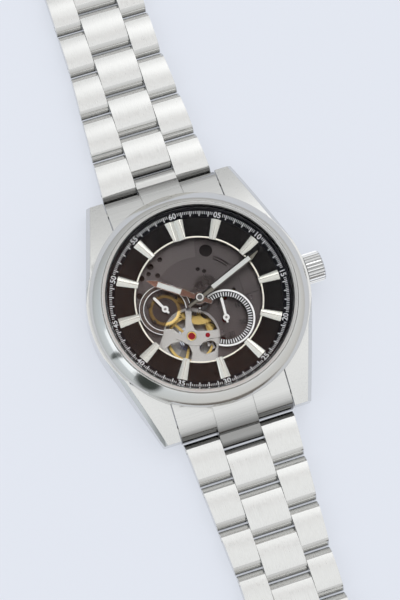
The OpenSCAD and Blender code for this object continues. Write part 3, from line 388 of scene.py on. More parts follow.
def fluted_steel(name, axis_z, groove_r, outer_r):
    """Polished steel for the crown, with a painted shade: dark at groove_r from its axis and bright at
    outer_r.
    """
    material, tree, shader = finish(name, STEEL, Metallic=1.0)
    away = axis_distance(tree, (0, 0, axis_z), ACROSS_X)
    # Painted shade: the grooves are darkened by their distance from the axis, and the end face is kept
    # bright.
    crown_shade = spread(tree, away, groove_r, outer_r, GROOVE_SHADE, FLUTE_SHADE)
    outward = apart(tree, facing_of(tree))["X"]
    end_face = spread(tree, outward, END_FACE_FROM, END_FACE_TO, 0.0, END_FACE_SHADE)
    painted_shade = put(tree, "Math", {0: crown_shade, 1: end_face}, operation="MAXIMUM")
    feed(tree, put(tree, "CombineXYZ", {"X": painted_shade, "Y": painted_shade, "Z": painted_shade}), shader, "Base Color")
    roughen(tree, shader, speckle(tree, 0.5 * MM), 0.08, 0.16)
    return material


GREY_STEEL = (0.30, 0.29, 0.28)
dome_steel = bezel_steel("bezel_dome")
mirror_steel = polished_steel("steel_polished")
tool_steel = polished_steel("steel_ground", colour=(0.60, 0.60, 0.61), roughness=0.2)
dark_steel = polished_steel("steel_dark", colour=GREY_STEEL, roughness=0.3)
print("with polished steel:", len(bpy.data.materials))

# %% [markdown]
# ## Plates and bridges
#
# The plate and the bridges of a movement are blasted or grained, so that they stay matt beside bright
# screws and wheels. Modelling grains of a tenth of a millimetre would be far too heavy, so noise in
# the bump and in the roughness stands for them. The plate gets three tones: for its top, its sunk
# step, and a near black painted shade for its pockets. The bridges that lie lower are darker, as
# painted shade.

# %% Plates and bridges
PLATE_GRAIN = 0.12 * MM
BRIDGE_GRAIN = 0.08 * MM


def blasted_metal(name, colour, grain_size, roughness):
    """A matt, slightly granular metal."""
    material, tree, shader = finish(name, colour, Metallic=1.0)
    grains = speckle(tree, grain_size)
    roughen(tree, shader, grains, roughness * 0.8, roughness * 1.2)
    emboss(tree, shader, grains, depth=0.006 * MM, strength=0.4)
    return material


plate_metal = blasted_metal("plate_blasted", (0.50, 0.49, 0.48), PLATE_GRAIN, roughness=0.42)
bridge_metal = blasted_metal("bridge_satin", (0.50, 0.49, 0.475), BRIDGE_GRAIN, roughness=0.32)
sunk_metal = blasted_metal("plate_sunk", (0.66, 0.65, 0.63), PLATE_GRAIN, roughness=0.5)
# A near black painted shade, for the plate's pockets and the hole in the hand cap.
painted_shade_metal = blasted_metal("painted_shade_dark", (0.13, 0.125, 0.12), PLATE_GRAIN, roughness=0.5)
# Painted shade: the bridges that lie under others get a much darker colour.
shaded_under_bridge_metal = blasted_metal("bridge_under_painted_shade", (0.26, 0.25, 0.235), PLATE_GRAIN, roughness=0.36)
print("with plates and bridges:", len(bpy.data.materials))

# %% [markdown]
# ## Movement colours
#
# Wheels are gilt brass, turned and grained round their own arbors, so their noise runs with the
# distance from the arbor. Two wheels are dark steel with a gilt rim. Jewels are synthetic ruby, deep
# red and partly clear. The hairspring is heat-blued. These are small in the picture, but they are
# what a skeleton dial is for.

# %% Movement finishes
GILT = (0.64, 0.47, 0.17)
BRIGHT_GILT = (0.88, 0.65, 0.25)
RUBY = (0.46, 0.008, 0.03)
HEAT_BLUE = (0.06, 0.13, 0.42)
RUBBER_BLACK = (0.015, 0.015, 0.015)
TURNING_LINE = 0.07 * MM


def gilt_brass(name, centre):
    """Gilt brass with turning lines around centre."""
    material, tree, shader = finish(name, GILT, Metallic=1.0)
    away = axis_distance(tree, centre)
    lathe_marks = {"W": away, "Scale": 1 / TURNING_LINE, "Detail": 2.0}
    rings = put(tree, "TexNoise", lathe_marks, noise_dimensions="1D")
    roughen(tree, shader, rings, 0.18, 0.34)
    emboss(tree, shader, rings, depth=0.003 * MM)
    return material


def rimmed_wheel(name, centre, rim_r, gilt=GILT):
    """A dark steel wheel whose toothed rim, beyond rim_r, is gilt."""
    material, tree, shader = finish(name, GREY_STEEL, Metallic=1.0)
    at_rim = put(tree, "Math", {0: axis_distance(tree, centre), 1: rim_r}, operation="GREATER_THAN")
    feed(tree, blend(tree, at_rim, GREY_STEEL, gilt), shader, "Base Color")
    roughen(tree, shader, speckle(tree, 0.1 * MM), 0.22, 0.36)
    return material


def ruby(name):
    material, tree, shader = finish(name, RUBY, Transmission_Weight=0.35, IOR=1.76)
    roughen(tree, shader, speckle(tree, 0.5 * MM), 0.03, 0.09)
    return material


def blued_spring(name):
    material, tree, shader = finish(name, HEAT_BLUE, Metallic=1.0)
    roughen(tree, shader, speckle(tree, 0.4 * MM), 0.15, 0.3)
    return material


def dark_rubber(name):
    material, tree, shader = finish(name, RUBBER_BLACK)
    roughen(tree, shader, speckle(tree, 0.05 * MM), 0.5, 0.75)
    return material


ruby_red = ruby("ruby")
spring_blue = blued_spring("spring_blued")
gasket_black = dark_rubber("gasket_rubber")
print("with movement finishes:", len(bpy.data.materials))

# %% [markdown]
# ## Dial colours
#
# The outer dial is black lacquer over a sunray ground, so it is black from most sides and catches a
# faint fan of light from some. The sloped ring that carries the minutes is plain black. The inner
# dial is smoked: a thin clear sheet, tinted grey, so that the plate under it shows dimly. The crystal
# over it all is clear. Light from a lamp stops at such a sheet, because a shadow ray counts every
# surface as solid. Tracing it properly takes many more samples, so for shadow rays alone the two
# clear pieces are see-through and tinted.

# %% Dial finishes
LACQUER_BLACK = (0.006, 0.005, 0.005)
RING_BLACK = (0.005, 0.005, 0.008)
SMOKE_GREY = (0.44, 0.415, 0.42)
SMOKE_SHADOW = (0.62, 0.59, 0.6)
CRYSTAL_SHADOW = (0.95, 0.95, 0.95)
CLEAR = (1, 1, 1)
SUNRAYS = 60


def black_lacquer(name):
    material, tree, shader = finish(name, LACQUER_BLACK, Specular_IOR_Level=0.3)
    rays = radial_lines(tree, (0, 0, 0), SUNRAYS)
    roughen(tree, shader, rays, 0.08, 0.16)
    emboss(tree, shader, rays, depth=0.001 * MM)
    return material


def matt_black(name):
    material, tree, shader = finish(name, RING_BLACK, Specular_IOR_Level=0.1)
    roughen(tree, shader, speckle(tree, 0.06 * MM), 0.32, 0.5)
    return material


def let_light_in(tree, shader, tint):
    """Lets lamps shine through a clear piece, tinted, instead of throwing a solid shadow."""
    clear = put(tree, "BsdfTransparent", {"Color": (*tint, 1)})
    shadow = tree.nodes.new("ShaderNodeLightPath").outputs["Is Shadow Ray"]
    show(tree, put(tree, "MixShader", {0: shadow, 1: shader.outputs["BSDF"], 2: clear}))


def smoked_sheet(name):
    material, tree, shader = finish(name, SMOKE_GREY, Transmission_Weight=1.0, IOR=1.1)
    roughen(tree, shader, speckle(tree, 1.5 * MM), 0.0, 0.03)
    let_light_in(tree, shader, SMOKE_SHADOW)
    return material


def clear_crystal(name):
    material, tree, shader = finish(name, CLEAR, Transmission_Weight=1.0, IOR=1.34)
    roughen(tree, shader, speckle(tree, 6 * MM), 0.0, 0.012)
    let_light_in(tree, shader, CRYSTAL_SHADOW)
    return material


lacquer = black_lacquer("dial_lacquer")
chapter_black = matt_black("chapter_black")
smoke = smoked_sheet("smoked_sheet")
glass = clear_crystal("crystal_glass")
print("with dial finishes:", len(bpy.data.materials))

# %% [markdown]
# ## Ink, bands and hands
#
# Marks and figures are pad-printed, and the fills of the hands are luminous paint: both are even,
# with a little grain. The bands of the two small scales are printed on bright metal that shows along
# both edges. The minute hand has a ridge down its length, and a painted reflection makes its facet
# near black on one side and grey on the other. For bands and hand we could cut the mesh along the
# borders. Measuring the place inside the material gives the same crisp line and leaves the mesh alone.

# %% Ink, bands and hands
BAND_EDGE = (0.86, 0.86, 0.86)
DARK_FACET_REFLECTION = (0.02, 0.02, 0.02)
LIT_FACET_REFLECTION = (0.17, 0.16, 0.135)


def paint(name, colour, roughness=0.55):
    """Pad-printed ink or luminous paint."""
    material, tree, shader = finish(name, colour)
    grains = speckle(tree, 0.05 * MM)
    roughen(tree, shader, grains, roughness * 0.8, roughness * 1.2)
    emboss(tree, shader, grains, depth=0.003 * MM)
    return material


def ringed_track(name, centre, band_in, band_out, band):
    """A printed band from band_in to band_out from centre, with bright metal on both sides of it."""
    material, tree, shader = finish(name, band)
    away = axis_distance(tree, centre)
    inside = put(tree, "Math", {0: away, 1: band_in}, operation="LESS_THAN")
    outside = put(tree, "Math", {0: away, 1: band_out}, operation="GREATER_THAN")
    at_edge = put(tree, "Math", {0: inside, 1: outside}, operation="MAXIMUM")
    feed(tree, blend(tree, at_edge, band, BAND_EDGE), shader, "Base Color")
    feed(tree, at_edge, shader, "Metallic")
    roughen(tree, shader, speckle(tree, 0.05 * MM), 0.3, 0.42)
    return material


def facet_reflection_hand(name, turn, ridge):
    """A painted reflection, near black on the left of the hand's ridge and grey on the right; turn is
    clockwise from twelve, and ridge is how far the border lies to the right of the hand's middle."""
    material, tree, shader = finish(name, LIT_FACET_REFLECTION, Metallic=1.0)
    to_right = (math.cos(turn), -math.sin(turn), 0)
    across = put(tree, "VectorMath", {0: place_of(tree), 1: to_right}, operation="DOT_PRODUCT")
    rightward = across.node.outputs["Value"]
    # Painted reflection: the facet right of the ridge is grey, the other near black.
    lit_facet = put(tree, "Math", {0: rightward, 1: ridge}, operation="GREATER_THAN")
    feed(tree, blend(tree, lit_facet, DARK_FACET_REFLECTION, LIT_FACET_REFLECTION), shader, "Base Color")
    roughen(tree, shader, speckle(tree, 0.1 * MM), 0.28, 0.38)
    return material


white_ink = paint("white_ink", (0.92, 0.92, 0.94))
dark_ink = paint("dark_ink", (0.02, 0.018, 0.02))
lume = paint("luminous_paint", (0.80, 0.81, 0.78), roughness=0.7)
print("with ink and paint:", len(bpy.data.materials))

# %% [markdown]
# ## Rounding the sharp edges
#
# A machined part has no perfectly sharp edge: tumbling and polishing leave a small round, and that
# round is the thin bright line that makes steel look like steel. The loaded meshes are sharp, so the
# outer pieces are copied, their loose triangles merged, and every edge that turns more than a limit
# gets a small bevel. Normals weighted by area then keep the big faces flat, so that only the bevel
# itself is shaded round. The links get a lower limit than the rest, because the crease between their
# arched top and the rolled strip at each end is a shallow one.

# %% Softened copies
EDGE_ANGLE = math.radians(30)
CREASE_ANGLE = math.radians(14)
BEVEL_STEP = math.radians(35)
SAME_PLANE = math.radians(0.2)
SAME_POINT = 0.0001 * MM
BEVEL_FACES = 2
UPPER_LINKS = 7
LOWER_LINKS = 5
LINK_ROUND_MM = 0.06
EDGE_ROUND_MM = {
    "mid_case": 0.1, "bezel": 0.05, "end_link_upper": 0.08, "end_link_lower": 0.08,
    "clasp_cover": 0.12, "clasp_middle_blade": 0.06, "clasp_end_blade": 0.06, "hour_indices": 0.03,
    "hour_hand": 0.02, "minute_hand": 0.02, "seconds_hand": 0.06, "day_hand": 0.06,
    "main_plate": 0.04, "front_balance_bridge": 0.06, "aperture_rim": 0.08,
    "seconds_track": 0.07, "day_track": 0.07,
}


def pick_only(piece):
    """Makes this the one selected and active object."""
    bpy.ops.object.select_all(action="DESELECT")
    piece.select_set(True)
    bpy.context.view_layer.objects.active = piece


def softened(node, width, limit=EDGE_ANGLE):
    """A copy of a working part with rounded edges, which stands for it."""
    pick_only(parts[node])
    bpy.ops.object.duplicate()
    piece = bpy.context.object
    piece.name = node + "_finished"
    del piece["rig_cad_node"]
    piece.parent = None
    bpy.ops.object.mode_set(mode="EDIT")
    bpy.ops.mesh.select_all(action="SELECT")
    bpy.ops.mesh.remove_doubles(threshold=SAME_POINT)
    bpy.ops.mesh.dissolve_limited(angle_limit=SAME_PLANE)
    bpy.ops.object.mode_set(mode="OBJECT")
    bpy.ops.mesh.customdata_custom_splitnormals_clear()
    rounding = piece.modifiers.new("rounding", "BEVEL")
    rounding.width = width
    rounding.segments = BEVEL_FACES
    rounding.limit_method = "ANGLE"
    rounding.angle_limit = limit
    bpy.ops.object.modifier_apply(modifier=rounding.name)
    bpy.ops.object.shade_smooth_by_angle(angle=BEVEL_STEP)
    flattening = piece.modifiers.new("flattening", "WEIGHTED_NORMAL")
    flattening.keep_sharp = True
    bpy.ops.object.modifier_apply(modifier=flattening.name)
    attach(piece, parts[node]["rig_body"])
    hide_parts(node)
    return piece


links = [f"upper_link_{k}" for k in range(1, UPPER_LINKS + 1)]
links += [f"lower_link_{k}" for k in range(1, LOWER_LINKS + 1)]
rounded = {node: softened(node, width * MM) for node, width in EDGE_ROUND_MM.items()}
rounded.update({link: softened(link, LINK_ROUND_MM * MM, CREASE_ANGLE) for link in links})
print("softened:", len(rounded), "faces:", sum(len(p.data.polygons) for p in rounded.values()))

# %% [markdown]
# ## Dressing the case and the bracelet
#
# On the real watch every piece is finished before it is fitted, so a finish belongs to a whole piece.
# One function does the same here: it puts a finish on a part and on the softened copy that stands for
# it. The painted shade of the crown's grooves, and the bright flutes, are measured inwards from its
# own outside, so they follow its size.

# %% Case and bracelet
GROOVE_DEPTH = 0.25 * MM
FLUTE_EDGE = 0.03 * MM


def wear(material, *nodes):
    """Puts one finish on parts, and on the softened copies that stand for them."""
    for node in nodes:
        for piece in (parts[node], rounded.get(node)):
            if piece:
                piece.data.materials.clear()
                piece.data.materials.append(material)


crown_low, crown_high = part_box("crown")
crown_r = (crown_high.y - crown_low.y) / 2
crown_axis_z = pivot["crown_turn"].z
crown_steel = fluted_steel("crown_fluted", crown_axis_z, crown_r - GROOVE_DEPTH, crown_r - FLUTE_EDGE)
wear(band_steel, "clasp_cover", *links)
wear(upper_end_steel, "end_link_upper")
wear(lower_end_steel, "end_link_lower")
wear(case_steel, "mid_case", "case_back")
wear(mirror_steel, "clasp_middle_blade", "clasp_end_blade", "lug_spring_bars")
wear(dome_steel, "bezel")
wear(crown_steel, "crown")
wear(gasket_black, "case_back_gasket")
wear(glass, "crystal", "case_back_crystal")
print("crown radius in mm:", round(crown_r / MM, 2))

# %% [markdown]
# ## Dressing the movement
#
# Stem, screws, lever and barrel are steel, most wheels are gilt brass, and the plate, the bridges and
# the rotor are matt metal. A wheel that is grained on a lathe needs the place of its own arbor, and
# that is the place of its joint. One brass for all would have its rings in the wrong place, so each
# gilt wheel gets its own.

# %% Movement
DAY_RIM_R = 2.3 * MM
FOURTH_RIM_R = 1.0 * MM
GILT_WHEELS = {
    "center_wheel": "minute_turn", "day_idler": "idler_turn",
    "third_wheel": "third_turn", "balance_wheel": "balance_swing",
}

seconds_centre = pivot["seconds_turn"]
day_centre = pivot["day_turn"]
wear(tool_steel, "crown_tube", "winding_stem", "sliding_pinion")
wear(tool_steel, "movement_screws", "pallet_fork", "escape_wheel")
wear(dark_steel, "mainspring_barrel", "hour_wheel", "minute_wheel")
# The cannon pinion shows in the hole of the hand cap, and wears the near black painted shade.
wear(painted_shade_metal, "cannon_pinion")
wear(rimmed_wheel("day_wheel", day_centre, DAY_RIM_R, BRIGHT_GILT), "day_wheel")
wear(rimmed_wheel("fourth_wheel", seconds_centre, FOURTH_RIM_R), "fourth_wheel")
wear(plate_metal, "main_plate", "movement_ring")
wear(bridge_metal, "front_balance_bridge", "rotor")
# The lower bridges wear the darker painted shade.
wear(shaded_under_bridge_metal, "train_bridge", "balance_cock")
wear(ruby_red, "jewels")
wear(spring_blue, "hairspring")
for node, joint in GILT_WHEELS.items():
    wear(gilt_brass("gilt_" + node, pivot[joint]), node)
print("gilt wheels:", len(GILT_WHEELS))

# %% [markdown]
# ## Dressing the dial and the hands
#
# The indices and the hands are bright metal in several degrees of polish. The small hands are satin,
# so that they stay pale from every side, while the hour hand is a mirror. The painted reflection on
# the minute hand follows its ridge, so it needs the angle that the hand shows, and that follows from
# the time: eleven minutes past ten in the evening.

# %% Dial and hands
HOURS_SHOWN = 22.19
hour_shown = math.radians(30 * HOURS_SHOWN)
minute_shown = math.radians(360 * (HOURS_SHOWN % 1))
MINUTE_RIDGE = -0.1 * MM
SILVER = (0.84, 0.83, 0.81)
SECONDS_BAND = (3.9 * MM, 5.0 * MM)
SECONDS_BLACK = (0.015, 0.015, 0.017)
DAY_BAND = (3.97 * MM, 4.63 * MM)
DAY_BROWN = (0.07, 0.045, 0.035)

index_silver = polished_steel("index_silver", colour=(0.66, 0.655, 0.61), roughness=0.1)
rim_gold = polished_steel("rim_champagne", colour=(0.95, 0.91, 0.80), roughness=0.3)
hand_silver = polished_steel("hand_silver", colour=SILVER, roughness=0.05)
satin_silver = polished_steel("satin_silver", colour=SILVER, roughness=0.4)
wear(lacquer, "dial")
wear(chapter_black, "chapter_ring")
wear(smoke, "smoked_dial")
wear(index_silver, "hour_indices")
wear(rim_gold, "aperture_rim")
wear(hand_silver, "hour_hand")
wear(facet_reflection_hand("minute_hand_facet_reflection", minute_shown, MINUTE_RIDGE), "minute_hand")
wear(satin_silver, "seconds_hand", "day_hand")
wear(ringed_track("seconds_track", seconds_centre, *SECONDS_BAND, SECONDS_BLACK), "seconds_track")
wear(ringed_track("day_track", day_centre, *DAY_BAND, DAY_BROWN), "day_track")
print("bare parts:", [n for n, o in parts.items() if not o.data.materials or not o.data.materials[0]])

# %% [markdown]
# ## Parts with more than one finish
#
# The main plate is paler on its sunk step and has a painted shade in its pockets, and the wall of the
# bezel, from its seat up to the foot of its lip, is black like the sloped ring that it continues: a
# painted shade for the narrow gap there. Here the borders are edges of the mesh, so the faces
# themselves take a second or third finish, picked by where their middle lies.

# %% Second finishes
PLATE_TOP = 6.2 * MM
SUNK_DEPTH = 0.05 * MM
POCKET_DEPTH = 0.28 * MM
LIP_FOOT = 10.65 * MM
SEAT_R = 17.3 * MM

plate = rounded["main_plate"]
plate.data.materials.append(sunk_metal)
plate.data.materials.append(painted_shade_metal)
# Faces deeper than POCKET_DEPTH get the painted shade.
for face in plate.data.polygons:
    depth = PLATE_TOP - face.center.z
    face.material_index = 2 if depth > POCKET_DEPTH else 1 if depth > SUNK_DEPTH else 0
bezel = rounded["bezel"]
# Painted shade: the bezel's inner wall is black, standing for the dark gap between ring and crystal.
bezel.data.materials.append(chapter_black)
for face in bezel.data.polygons:
    if face.center.z < LIP_FOOT and face.center.xy.length < SEAT_R:
        face.material_index = 1
print("black faces of the bezel:", sum(face.material_index for face in bezel.data.polygons))

# %% [markdown]
# ## Luminous fills in the hands
#
# The hour and minute hands are slotted, and the slot is filled with luminous paint. The fill is
# already a solid of its own inside each hand, so only its colour is missing. Every face is turned
# back to twelve o'clock by the angle that the hand shows, and the faces that then lie inside the slot
# get the paint.

# %% Luminous fills
def fill_slot(node, turn, half_width, start, end):
    """Paints a hand's fill; turn is clockwise from twelve, start and end are measured from the hub."""
    piece = rounded[node]
    piece.data.materials.append(lume)
    back_to_twelve = Matrix.Rotation(turn, 3, "Z")
    painted = 0
    for face in piece.data.polygons:
        corners = [back_to_twelve @ piece.data.vertices[k].co for k in face.vertices]
        if all(abs(spot.x) < half_width and start < spot.y < end for spot in corners):
            face.material_index = 1
            painted += 1
    return painted


faces_hour = fill_slot("hour_hand", hour_shown, half_width=0.46 * MM, start=3.6 * MM, end=8.1 * MM)
faces_minute = fill_slot("minute_hand", minute_shown, half_width=0.41 * MM, start=3.0 * MM, end=11.9 * MM)
print("lume faces:", faces_hour, faces_minute)

# %% [markdown]
# ## Minute scale
#
# Marks are printed on the sloped ring, five to the minute, with a gap for each numeral. A print has
# almost no thickness, so a mark is a thin bar that lies on the slope. We add the bars of one
# five-minute sector in edit mode, each turned and tilted to its place, and let a spin with copies
# carry the sector around the dial.

# %% Minute marks
RING_IN = Vector((15.45 * MM, 0, 7.93 * MM))
RING_OUT = Vector((16.67 * MM, 0, 8.48 * MM))
SLOPE = math.atan2(RING_OUT.z - RING_IN.z, RING_OUT.x - RING_IN.x)
INK = 0.02 * MM
BAR_LIFT = INK * 0.3
BAR_FACES = 6
DEGREES_PER_MINUTE = 6
FIFTHS = 5
SECTORS = 12
FIRST_MARK = 3
LAST_MARK = 22
MARK_OUT = 16.5 * MM
FULL_MARK_IN = 15.65 * MM
PART_MARK_IN = 16.0 * MM
FULL_MARK_W = 0.19 * MM
PART_MARK_W = 0.12 * MM


def on_slope(r):
    """Height of the sloped ring at a distance from the axis."""
    return RING_IN.z + (r - RING_IN.x) * math.tan(SLOPE)


def clock_place(r, turn, z, centre=(0, 0)):
    """A point at a distance from centre, turned clockwise from twelve."""
    return Vector((centre[0] + r * math.sin(turn), centre[1] + r * math.cos(turn), z))


def add_bar(place, turn, tilt, width, length):
    """One printed bar, in the mesh that is being edited."""
    angles = (tilt, 0, -turn)
    bpy.ops.mesh.primitive_cube_add(size=1, location=place, rotation=angles, scale=(width, length, INK))


def start_mesh(name):
    """A new, empty mesh object in edit mode."""
    bpy.ops.object.select_all(action="DESELECT")
    bpy.ops.mesh.primitive_plane_add()
    piece = bpy.context.object
    piece.name = name
    bpy.ops.object.mode_set(mode="EDIT")
    bpy.ops.mesh.delete(type="VERT")
    return piece


def end_mesh(piece, material, body):
    """Leaves edit mode, dresses the piece and lets it ride on a body."""
    bpy.ops.object.mode_set(mode="OBJECT")
    piece.data.materials.append(material)
    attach(piece, body)
    return piece


minute_marks = start_mesh("minute_marks")
for fifth in range(FIRST_MARK, LAST_MARK + 1):
    turn = math.radians(fifth * DEGREES_PER_MINUTE / FIFTHS)
    full = fifth % FIFTHS == 0
    inner = FULL_MARK_IN if full else PART_MARK_IN
    middle = (MARK_OUT + inner) / 2
    length = (MARK_OUT - inner) / math.cos(SLOPE)
    place = clock_place(middle, turn, on_slope(middle) + BAR_LIFT)
    add_bar(place, turn, SLOPE, FULL_MARK_W if full else PART_MARK_W, length)
bpy.ops.mesh.select_all(action="SELECT")
copies = SECTORS - 1
last_turn = math.radians(360 / SECTORS * copies)
bpy.ops.mesh.spin(steps=copies, dupli=True, angle=last_turn, center=(0, 0, 0), axis=(0, 0, 1))
end_mesh(minute_marks, white_ink, "case")
print("minute marks:", len(minute_marks.data.polygons) // BAR_FACES)

# %% [markdown]
# ## Numerals
#
# Plain figures stand in the gaps of the minute scale and beside the two small scales. Each is typed
# as text, made a mesh, and then laid down by a matrix whose columns are the directions in which the
# figure's own right, up and front point. Around the dial the figures from twenty to forty stand with
# their feet outwards, so that none is upside down.

# %% Numerals
FIGURE_R = 16.1 * MM
FIGURE_SIZE = 1.45 * MM
FIGURE_LIFT = INK / 3
BOLDNESS = 0.02
CURVE_STEPS = 4
FEET_OUT_FROM = 20
FEET_OUT_TO = 40


def typed(body, size):
    """A flat figure as a mesh object around the origin."""
    bpy.ops.object.select_all(action="DESELECT")
    bpy.ops.object.text_add()
    figure = bpy.context.object
    figure.data.body = body
    figure.data.size = size
    figure.data.align_x = "CENTER"
    figure.data.align_y = "CENTER"
    figure.data.extrude = INK / 2
    figure.data.offset = size * BOLDNESS
    figure.data.resolution_u = CURVE_STEPS
    bpy.ops.object.convert(target="MESH")
    return bpy.context.object


def lay(figure, place, right, up):
    """Moves the mesh so that it lies at place with these directions."""
    front = right.cross(up)
    turned = Matrix((right, up, front)).transposed().to_4x4()
    turned.translation = place
    figure.data.transform(turned)


def joined(figures, name, material, body):
    """Makes one piece of many figures."""
    bpy.ops.object.select_all(action="DESELECT")
    for figure in figures:
        figure.select_set(True)
    bpy.context.view_layer.objects.active = figures[0]
    bpy.ops.object.join()
    piece = bpy.context.object
    piece.name = name
    piece.data.materials.clear()
    piece.data.materials.append(material)
    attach(piece, body)
    return piece


figures = []
for minute in range(5, 65, 5):
    turn = math.radians(minute * DEGREES_PER_MINUTE)
    level_out = Vector((math.sin(turn), math.cos(turn), 0))
    out = level_out * math.cos(SLOPE) + Vector((0, 0, math.sin(SLOPE)))
    along = Vector((math.cos(turn), -math.sin(turn), 0))
    way = -1 if FEET_OUT_FROM <= minute <= FEET_OUT_TO else 1
    figure = typed(f"{minute:02d}", FIGURE_SIZE)
    lay(figure, clock_place(FIGURE_R, turn, on_slope(FIGURE_R) + FIGURE_LIFT), along * way, out * way)
    figures.append(figure)
joined(figures, "minute_figures", white_ink, "case")
print("figures on the ring:", len(figures))

# %% [markdown]
# ## Marks of the small scales
#
# The seconds scale is a black band with white marks, the 24-hour scale a brown band with short dark
# ones. Both stop where the dial is cut open. Listing the marks that are left would tie them to one
# shape of the opening, so each mark is tested instead: a ray straight down has to hit the band at
# both of its ends.

# %% Small scales
SKY = 20 * MM
DOWN = Vector((0, 0, -1))


def height_on(node, place):
    """Height of a part straight below a place, or None where it isn't there."""
    hit, spot, _, _ = rounded.get(node, parts[node]).ray_cast(Vector((place.x, place.y, SKY)), DOWN)
    return spot.z if hit else None


def small_scale(name, node, centre, count, r_in, r_out, width, material):
    """Radial marks on a band, kept only where the band is."""
    piece = start_mesh(name)
    kept = 0
    for mark in range(count):
        turn = 2 * math.pi * mark / count
        ends = [clock_place(r, turn, 0, centre) for r in (r_in, r_out)]
        heights = [height_on(node, end) for end in ends]
        if None in heights:
            continue
        middle = (ends[0] + ends[1]) / 2
        middle.z = heights[0] + BAR_LIFT
        add_bar(middle, turn, 0, width, r_out - r_in)
        kept += 1
    print(name, kept)
    return end_mesh(piece, material, "case")


small_scale("seconds_marks", "seconds_track", seconds_centre, count=60,
    r_in=4.08 * MM, r_out=4.85 * MM, width=0.17 * MM, material=white_ink)
small_scale("day_marks", "day_track", day_centre, count=24,
    r_in=4.05 * MM, r_out=4.4 * MM, width=0.2 * MM, material=dark_ink)

# %% [markdown]
# ## Figures of the small scales
#
# A few upright figures are printed on the smoked sheet inside each band, each at the angle of its
# mark. They are typed like the minutes and dropped onto the sheet by the same ray, and where the
# sheet is cut away there is none.

# %% Small figures
SECONDS_FIGURES = {"60": 0, "10": 60, "20": 120, "30": 180}
DAY_FIGURES = {"24": 0, "4": 60, "16": 240, "20": 300}


def small_figures(name, centre, r, size, labels):
    """Upright figures on the smoked dial, kept where the dial is; labels gives their angles in degrees."""
    kept = []
    for label, degrees in labels.items():
        spot = clock_place(r, math.radians(degrees), 0, centre)
        height = height_on("smoked_dial", spot)
        if height is None:
            continue
        figure = typed(label, size)
        spot.z = height + FIGURE_LIFT
        lay(figure, spot, Vector((1, 0, 0)), Vector((0, 1, 0)))
        kept.append(figure)
    print(name, len(kept))
    return joined(kept, name, dark_ink, "case")


small_figures("seconds_figures", seconds_centre, r=3.2 * MM, size=1.25 * MM, labels=SECONDS_FIGURES)
small_figures("day_figures", day_centre, r=3.05 * MM, size=1.0 * MM, labels=DAY_FIGURES)

# %% [markdown]
# ## Setting of the balance jewel, and the cap on the hands
#
# The big ruby sits in a gold ring with a rounded edge, pressed into the bridge. The hands are held by
# a small bright ring with a dark centre. Both are turned on a lathe, so both are a short profile spun
# about an axis: the outline is extruded from point to point, then spun, and the doubled seam is
# merged.

# %% Turned rings
SEED_SIZE = 0.1 * MM
SETTING_GOLD = (0.90, 0.66, 0.26)
SETTING_MM = [(0.62, -0.2), (0.88, -0.2), (0.88, 0.02), (0.8, 0.09), (0.7, 0.06), (0.62, -0.04)]
CAP_MM = [(0.48, 0.0), (0.7, 0.0), (0.7, 0.06), (0.64, 0.12), (0.54, 0.12), (0.48, 0.08)]


def turned_ring(name, centre, profile, material, body, steps=48):
    """Spins a closed outline of (distance, height) points about an upright axis through centre."""
    piece = start_mesh(name)
    corner = Vector((centre[0], centre[1], 0))
    bpy.ops.mesh.primitive_plane_add(size=SEED_SIZE, location=corner)
    bpy.ops.mesh.delete(type="ONLY_FACE")
    bpy.ops.mesh.select_all(action="SELECT")
    bpy.ops.mesh.merge(type="CENTER")
    start = corner + Vector((profile[0][0], 0, profile[0][1]))
    bpy.ops.transform.translate(value=start - corner)
    for before, after in zip(profile, profile[1:] + profile[:1]):
        step = Vector((after[0] - before[0], 0, after[1] - before[1]))
        bpy.ops.mesh.extrude_region_move(TRANSFORM_OT_translate={"value": step})
    bpy.ops.mesh.select_all(action="SELECT")
    bpy.ops.mesh.remove_doubles(threshold=SAME_POINT)
    bpy.ops.mesh.spin(steps=steps, angle=2 * math.pi, center=corner, axis=(0, 0, 1))
    bpy.ops.mesh.select_all(action="SELECT")
    bpy.ops.mesh.remove_doubles(threshold=SAME_POINT)
    bpy.ops.mesh.normals_make_consistent(inside=False)
    end_mesh(piece, material, body)
    pick_only(piece)
    bpy.ops.object.shade_smooth_by_angle(angle=EDGE_ANGLE)
    return piece


jewel_gold = polished_steel("setting_gold", colour=SETTING_GOLD, roughness=0.12)
setting_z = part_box("front_balance_bridge")[1].z
setting_profile = [(r * MM, setting_z + z * MM) for r, z in SETTING_MM]
setting = turned_ring("jewel_setting", pivot["balance_swing"], setting_profile, jewel_gold, "case")
cap_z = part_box("cannon_pinion")[1].z
cap_profile = [(r * MM, cap_z + z * MM) for r, z in CAP_MM]
cap = turned_ring("hand_cap", (0, 0), cap_profile, satin_silver, "minutes")
print("turned rings:", len(setting.data.polygons), len(cap.data.polygons))

# %% [markdown]
# ## Table
#
# The table is pale, and nearly white to the eye. A whiter paint would also throw more light up under
# the links and wash out their edges. So part of what the eye sees is a glow, shown only to rays that
# see the table, straight, mirrored or through glass. For rays that gather light it stays a plain
# painted surface.

# %% Table
TABLE_PALE = (0.80, 0.83, 0.90)
TABLE_SIDE = 4
TABLE_GAP = 0.02 * MM
TABLE_GLOW = 0.6


def looking(tree):
    """One for a ray that sees a surface, straight, mirrored or through glass, and zero for any other."""
    path = tree.nodes.new("ShaderNodeLightPath").outputs
    straight = put(tree, "Math", {0: path["Is Camera Ray"], 1: path["Is Glossy Ray"]}, operation="MAXIMUM")
    return put(tree, "Math", {0: straight, 1: path["Is Transmission Ray"]}, operation="MAXIMUM")


